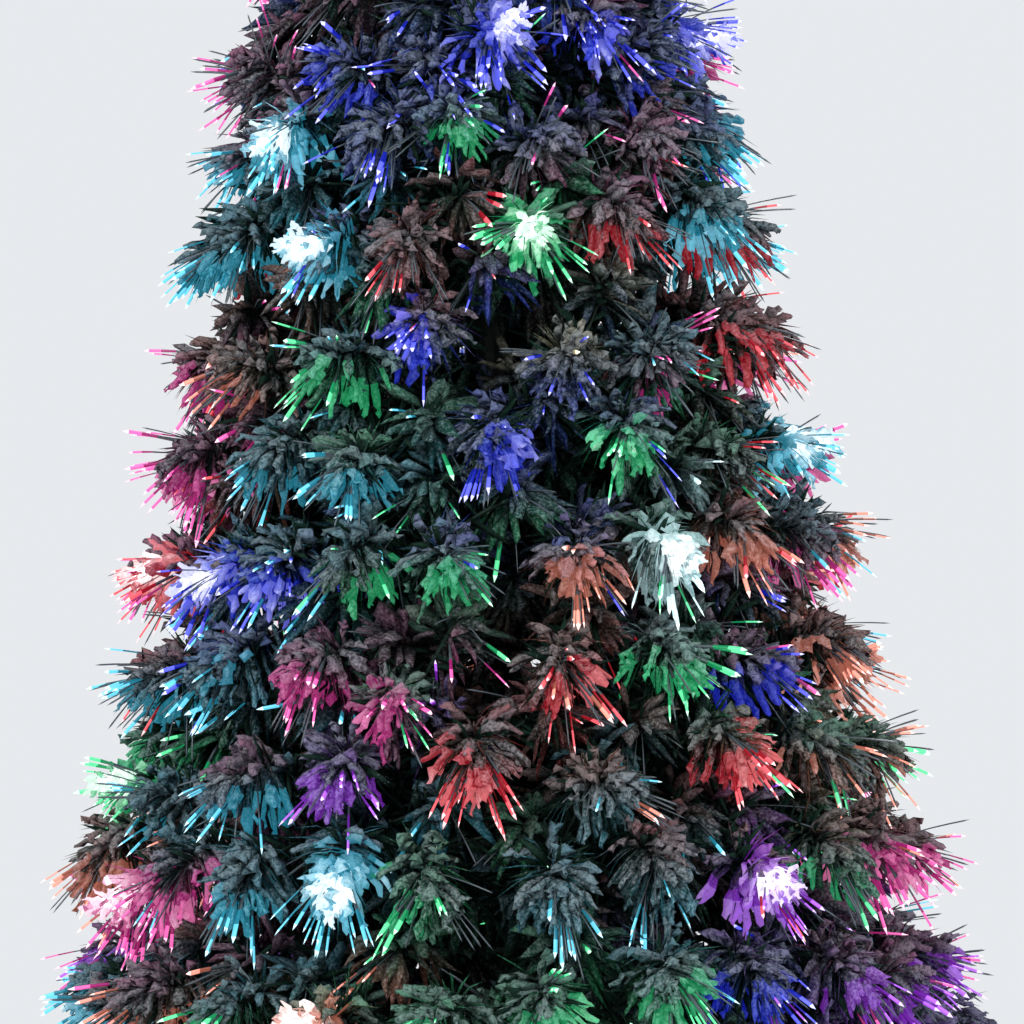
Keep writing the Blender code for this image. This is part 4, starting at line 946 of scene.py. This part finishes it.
def dress_tips(ends, roots, out, lamps, chance, lift=1.0):
    """Return needle, fibre and lamp sets for some tips, with the twigs that carry them.

    Each twig forks into three sprigs that lie deeper in the tree than its tip, to one side and
    above or below, and close the gaps between tips. lift scales their rise.
    """
    shifts = chance.normal(0, TIP_JITTER, ends.shape)
    ends = ends + np.clip(shifts, -2 * TIP_JITTER, 2 * TIP_JITTER)
    ways = tuft_way(ends, roots, out, chance)
    colours, brights = light_at(ends)
    spills = light_at(ends - DOWN * SPILL_RISE)[0]
    bends = ends - ways * TUFT_BEND
    twigs = curve_points(roots, bends, ends - ways * WOUND_SETBACK, TWIG_SHARES)
    beside = unit(np.cross(out, DOWN))
    stems, sprigs = [twigs], []
    for depth_share, aside, rise, fork, glow in SPRIGS:
        sprig_ends = ends - out * (depth_share * np.linalg.norm(ends[:, :2], axis=1))[:, None]
        rises = lift * (rise + chance.normal(0, SPRIG_RISE_CHANCE, (len(ends), 1)))
        sprig_ends = sprig_ends + beside * aside - DOWN * rises
        sprig_ways = tuft_way(sprig_ends, roots, out, chance)
        bends = sprig_ends - sprig_ways * SPRIG_BEND
        sprig_feet = sprig_ends - sprig_ways * WOUND_SETBACK
        stems.append(curve_points(twigs[:, fork], bends, sprig_feet, TWIG_SHARES))
        sprigs.append((sprig_ends, sprig_ways, stems[-1], glow))
    stems = np.concatenate(stems)
    wide = TWIG_HALF_WIDTH * np.ones((len(stems), len(TWIG_SHARES) - 1))
    turns = np.repeat(np.array([[0.3, 0.2, 1.0]]), len(stems), axis=0)
    needles = [strand_set(stems, turns, wide, wide, np.full(wide.shape, TWIG_GREEN))]
    fibres, bulbs = [], []
    for number, end in enumerate(ends):
        colour, way = colours[number], ways[number]
        if lamps[number]:
            bright = max(brights[number], LAMP_TIP_LIGHT)
        else:
            bright = brights[number] * chance.uniform(*TIP_LIGHTS)
        spill = spills[number]
        for kind in ("finger", "fine"):
            needles.append(needle_set(end, way, colour, spill, bright, lamps[number], kind, chance))
        fibres.append(fibre_set(end, way, colour, spill, bright, FIBRE_COUNT, chance))
        for sprig_ends, sprig_ways, stem, glow in sprigs:
            sprig = sprig_ends[number], sprig_ways[number], colour, spill, glow * bright
            needles.append(needle_set(*sprig, False, "inner", chance))
            needles.append(inner_set(stem[number][1:], 2 * INNER_PITCH, INNER_LENGTH, chance))
            if glow > SPRIG_FIBRE_GLOW:
                fibres.append(fibre_set(*sprig, SPRIG_FIBRE_COUNT, chance))
        needles.append(inner_set(twigs[number][:-1], INNER_PITCH, INNER_LENGTH, chance))
        if lamps[number]:
            needles.append(burst_set(end, way, colour, chance.spawn(1)[0]))
            bulbs.append(lamp_set(end, way))
    return needles, fibres, bulbs


# Branch by branch: the wire is stiff and rides its hinge, and the tips on each side of it make one
#  piece, which rides with the wire.
WIRE_SIDES = 8
WIRE_RADIUS = 0.0022
EYE_RADIUS = 0.0036
EYE_TURNS = (-0.5, 1.42)
EYE_POINTS = 14
EYE_POINTS_KEPT = 12
WIRE_START = 0.012
WIRE_POINTS = 8
PIN_RADIUS = 0.0015
PIN_LENGTH = 0.0118
PIN_SHARES = (-0.5, -0.2, 0.2, 0.5)
BARE_START = 0.016
BARE_POINTS = 6
BRANCH_SEED = 7000
SIDE_NAMES = ("left", "right", "upper", "under")
KINDS = (("needles", "flocked_needles"), ("fibres", "fibre_ends"), ("lamps", "led_lamps"))


def tube(line, radius, sides):
    """Points and faces of a round tube along a line of points, closed by a fan at each end."""
    ways = unit(np.gradient(line, axis=0))
    first = unit(np.cross(ways, (0.31, 0.83, 0.46)))
    second = np.cross(ways, first)
    turn = np.arange(sides) * 2 * math.pi / sides
    rings = line[:, None] + radius * (
        np.cos(turn)[None, :, None] * first[:, None] + np.sin(turn)[None, :, None] * second[:, None]
    )
    points = np.concatenate([rings.reshape(-1, 3), line[:1], line[-1:]])
    ring, side = np.meshgrid(np.arange(len(line) - 1), np.arange(sides), indexing="ij")
    a, b = ring * sides + side, ring * sides + (side + 1) % sides
    walls = np.stack([a, b, b + sides, a + sides], axis=-1).reshape(-1, 4)
    top = (len(line) - 1) * sides
    start, stop = len(line) * sides, len(line) * sides + 1
    pairs = [(side, (side + 1) % sides) for side in range(sides)]
    caps = [(start, y, x) for x, y in pairs] + [(stop, top + x, top + y) for x, y in pairs]
    return points, walls.tolist() + caps


for tier, branch_count in enumerate(BRANCH_COUNTS):
    rise, length, hinge, ends, along = branch_plan(tier)
    way = np.array((math.cos(rise), 0.0, math.sin(rise)))
    up = np.array((-math.sin(rise), 0.0, math.cos(rise)))
    roots = along[:, None] * way
    off = ends - (ends @ way)[:, None] * way
    across, above = off[:, 1], off @ up
    beside = np.abs(across) > np.abs(above)
    side_of = np.where(beside, np.where(across > 0, 0, 1), np.where(above > 0, 2, 3))
    for index in range(branch_count):
        name = f"branch_{tier + 1}_{index + 1}"
        azimuth = (index + TIER_TURN_SHARES[tier]) * 2 * math.pi / branch_count
        east, north = math.cos(azimuth), math.sin(azimuth)
        spin = np.array(((east, -north, 0.0), (north, east, 0.0), (0.0, 0.0, 1.0)))
        hinge_place = np.array((HINGE_RADIUS * east, HINGE_RADIUS * north, hinge))
        chance = np.random.default_rng(BRANCH_SEED + 100 * tier + index)

        # The wire's end is bent into an eye round its pin, and both are one mesh.
        start, stop = (share * math.pi - rise for share in EYE_TURNS)
        turn = np.linspace(start, stop, EYE_POINTS)
        eye = EYE_RADIUS * np.stack([-np.sin(turn), 0 * turn, np.cos(turn)], axis=1)
        straight = way * np.linspace(WIRE_START, length, WIRE_POINTS)[:, None]
        wire_line = np.concatenate([eye[::-1][:EYE_POINTS_KEPT], straight])
        points, faces = tube(wire_line @ spin.T + hinge_place, WIRE_RADIUS, WIRE_SIDES)
        pin_line = np.array([(0, share, 0) for share in PIN_SHARES]) * PIN_LENGTH
        pin_points, pin_faces = tube(pin_line @ spin.T + hinge_place, PIN_RADIUS, WIRE_SIDES)
        faces += [tuple(corner + len(points) for corner in face) for face in pin_faces]
        points = np.concatenate([points, pin_points])
        wire_piece = mesh_object(name + "_wire", points, faces, finishes[TWIG_GREEN])
        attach(wire_piece, name)
        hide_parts(name)

        # Tips go by the side of the wire that they stand on, one piece for each side.
        bare = np.linspace(BARE_START, length, BARE_POINTS)[:, None] * way @ spin.T + hinge_place
        wire_needles = inner_set(bare, WIRE_NEEDLE_PITCH, WIRE_NEEDLE_LENGTH, chance)
        for side, side_name in enumerate(SIDE_NAMES):
            chosen = np.flatnonzero(side_of == side)
            if not len(chosen):
                continue
            world_ends = ends[chosen] @ spin.T + hinge_place
            world_roots = roots[chosen] @ spin.T + hinge_place
            outward = unit(world_ends * (1.0, 1.0, 0.0))
            lamp_tips = [number % len(ends) for number in LAMP_TIPS[tier][index]]
            lamps = [int(number) in lamp_tips for number in chosen]
            needles, fibres, bulbs = dress_tips(world_ends, world_roots, outward, lamps, chance)
            if wire_needles is not None:
                needles.append(wire_needles)
                wire_needles = None
            for (kind, slot_name), sets in zip(KINDS, (needles, fibres, bulbs)):
                if not sets:
                    continue
                piece = pile_mesh(f"{name}_{side_name}_{kind}", sets, finishes)
                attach(piece, name)
                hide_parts(name)
                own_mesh(piece)


# Crown: a leader plugged into the pole, two rows of four tips and an upright one with a lamp.
CROWN_ROW_SHARES = ((0.16, 0.95, 0.40), (0.46, 0.80, 0.80))
CROWN_FOOT = 1.585
CROWN_TOP = 1.712
CROWN_TIPS_PER_ROW = 4
CROWN_SEED = 9000
LEADER_RADIUS = 0.0040
LEADER_TOP = TREE_HEIGHT - 0.030
LEADER_BARE_POINTS = 5
SPIRE_LAMP_RISE = 0.008
CROWN_SPRIG_LIFT = 0.35
SPIRE_LIGHT = 0.9
chance = np.random.default_rng(CROWN_SEED)
crown_ends, crown_roots = [], []
for row, (rise_share, reach_share, root_share) in enumerate(CROWN_ROW_SHARES):
    height = TREE_HEIGHT - CROWN_HEIGHT * (1 - rise_share)
    reach = CROWN_RADIUS * reach_share
    for number in range(CROWN_TIPS_PER_ROW):
        turn = (number + row / 2) * 2 * math.pi / CROWN_TIPS_PER_ROW
        crown_ends.append((reach * math.cos(turn), reach * math.sin(turn), height))
        crown_roots.append((0, 0, CROWN_FOOT + (CROWN_TOP - CROWN_FOOT) * root_share))
crown_ends, crown_roots = np.array(crown_ends), np.array(crown_roots, dtype=float)
outward = unit(crown_ends * (1.0, 1.0, 0.0))
unlit = [False] * len(crown_ends)
needles, fibres, bulbs = dress_tips(crown_ends, crown_roots, outward, unlit, chance, CROWN_SPRIG_LIFT)
spire = np.array((0.0, 0.0, TREE_HEIGHT))
spire_way = np.array((0.0, 0.0, 1.0))
spire_colour = light_at(spire[None])[0][0]
spire_light = spire_colour, spire_colour, SPIRE_LIGHT
wound_end = spire - spire_way * SPIRE_LAMP_RISE
for kind in ("finger", "fine"):
    needles.append(needle_set(wound_end, spire_way, *spire_light, True, kind, chance))
fibres.append(fibre_set(spire, spire_way, *spire_light, FIBRE_COUNT, chance))
needles.append(burst_set(spire, spire_way, spire_colour, chance.spawn(1)[0]))
bulbs.append(lamp_set(spire, spire_way))
leader_line = np.array([(0, 0, z) for z in np.linspace(CROWN_FOOT, LEADER_TOP, WIRE_POINTS)])
needles.append(inner_set(leader_line[:LEADER_BARE_POINTS], WIRE_NEEDLE_PITCH / 2, WIRE_NEEDLE_LENGTH, chance))
points, faces = tube(leader_line, LEADER_RADIUS, WIRE_SIDES)
leader = mesh_object("crown_leader", points, faces, finishes[TWIG_GREEN])
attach(leader, "tree")
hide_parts("crown")
for (kind, slot_name), sets in zip(KINDS, (needles, fibres, bulbs)):
    piece = pile_mesh("crown_" + kind, sets, finishes)
    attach(piece, "tree")
    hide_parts("crown")
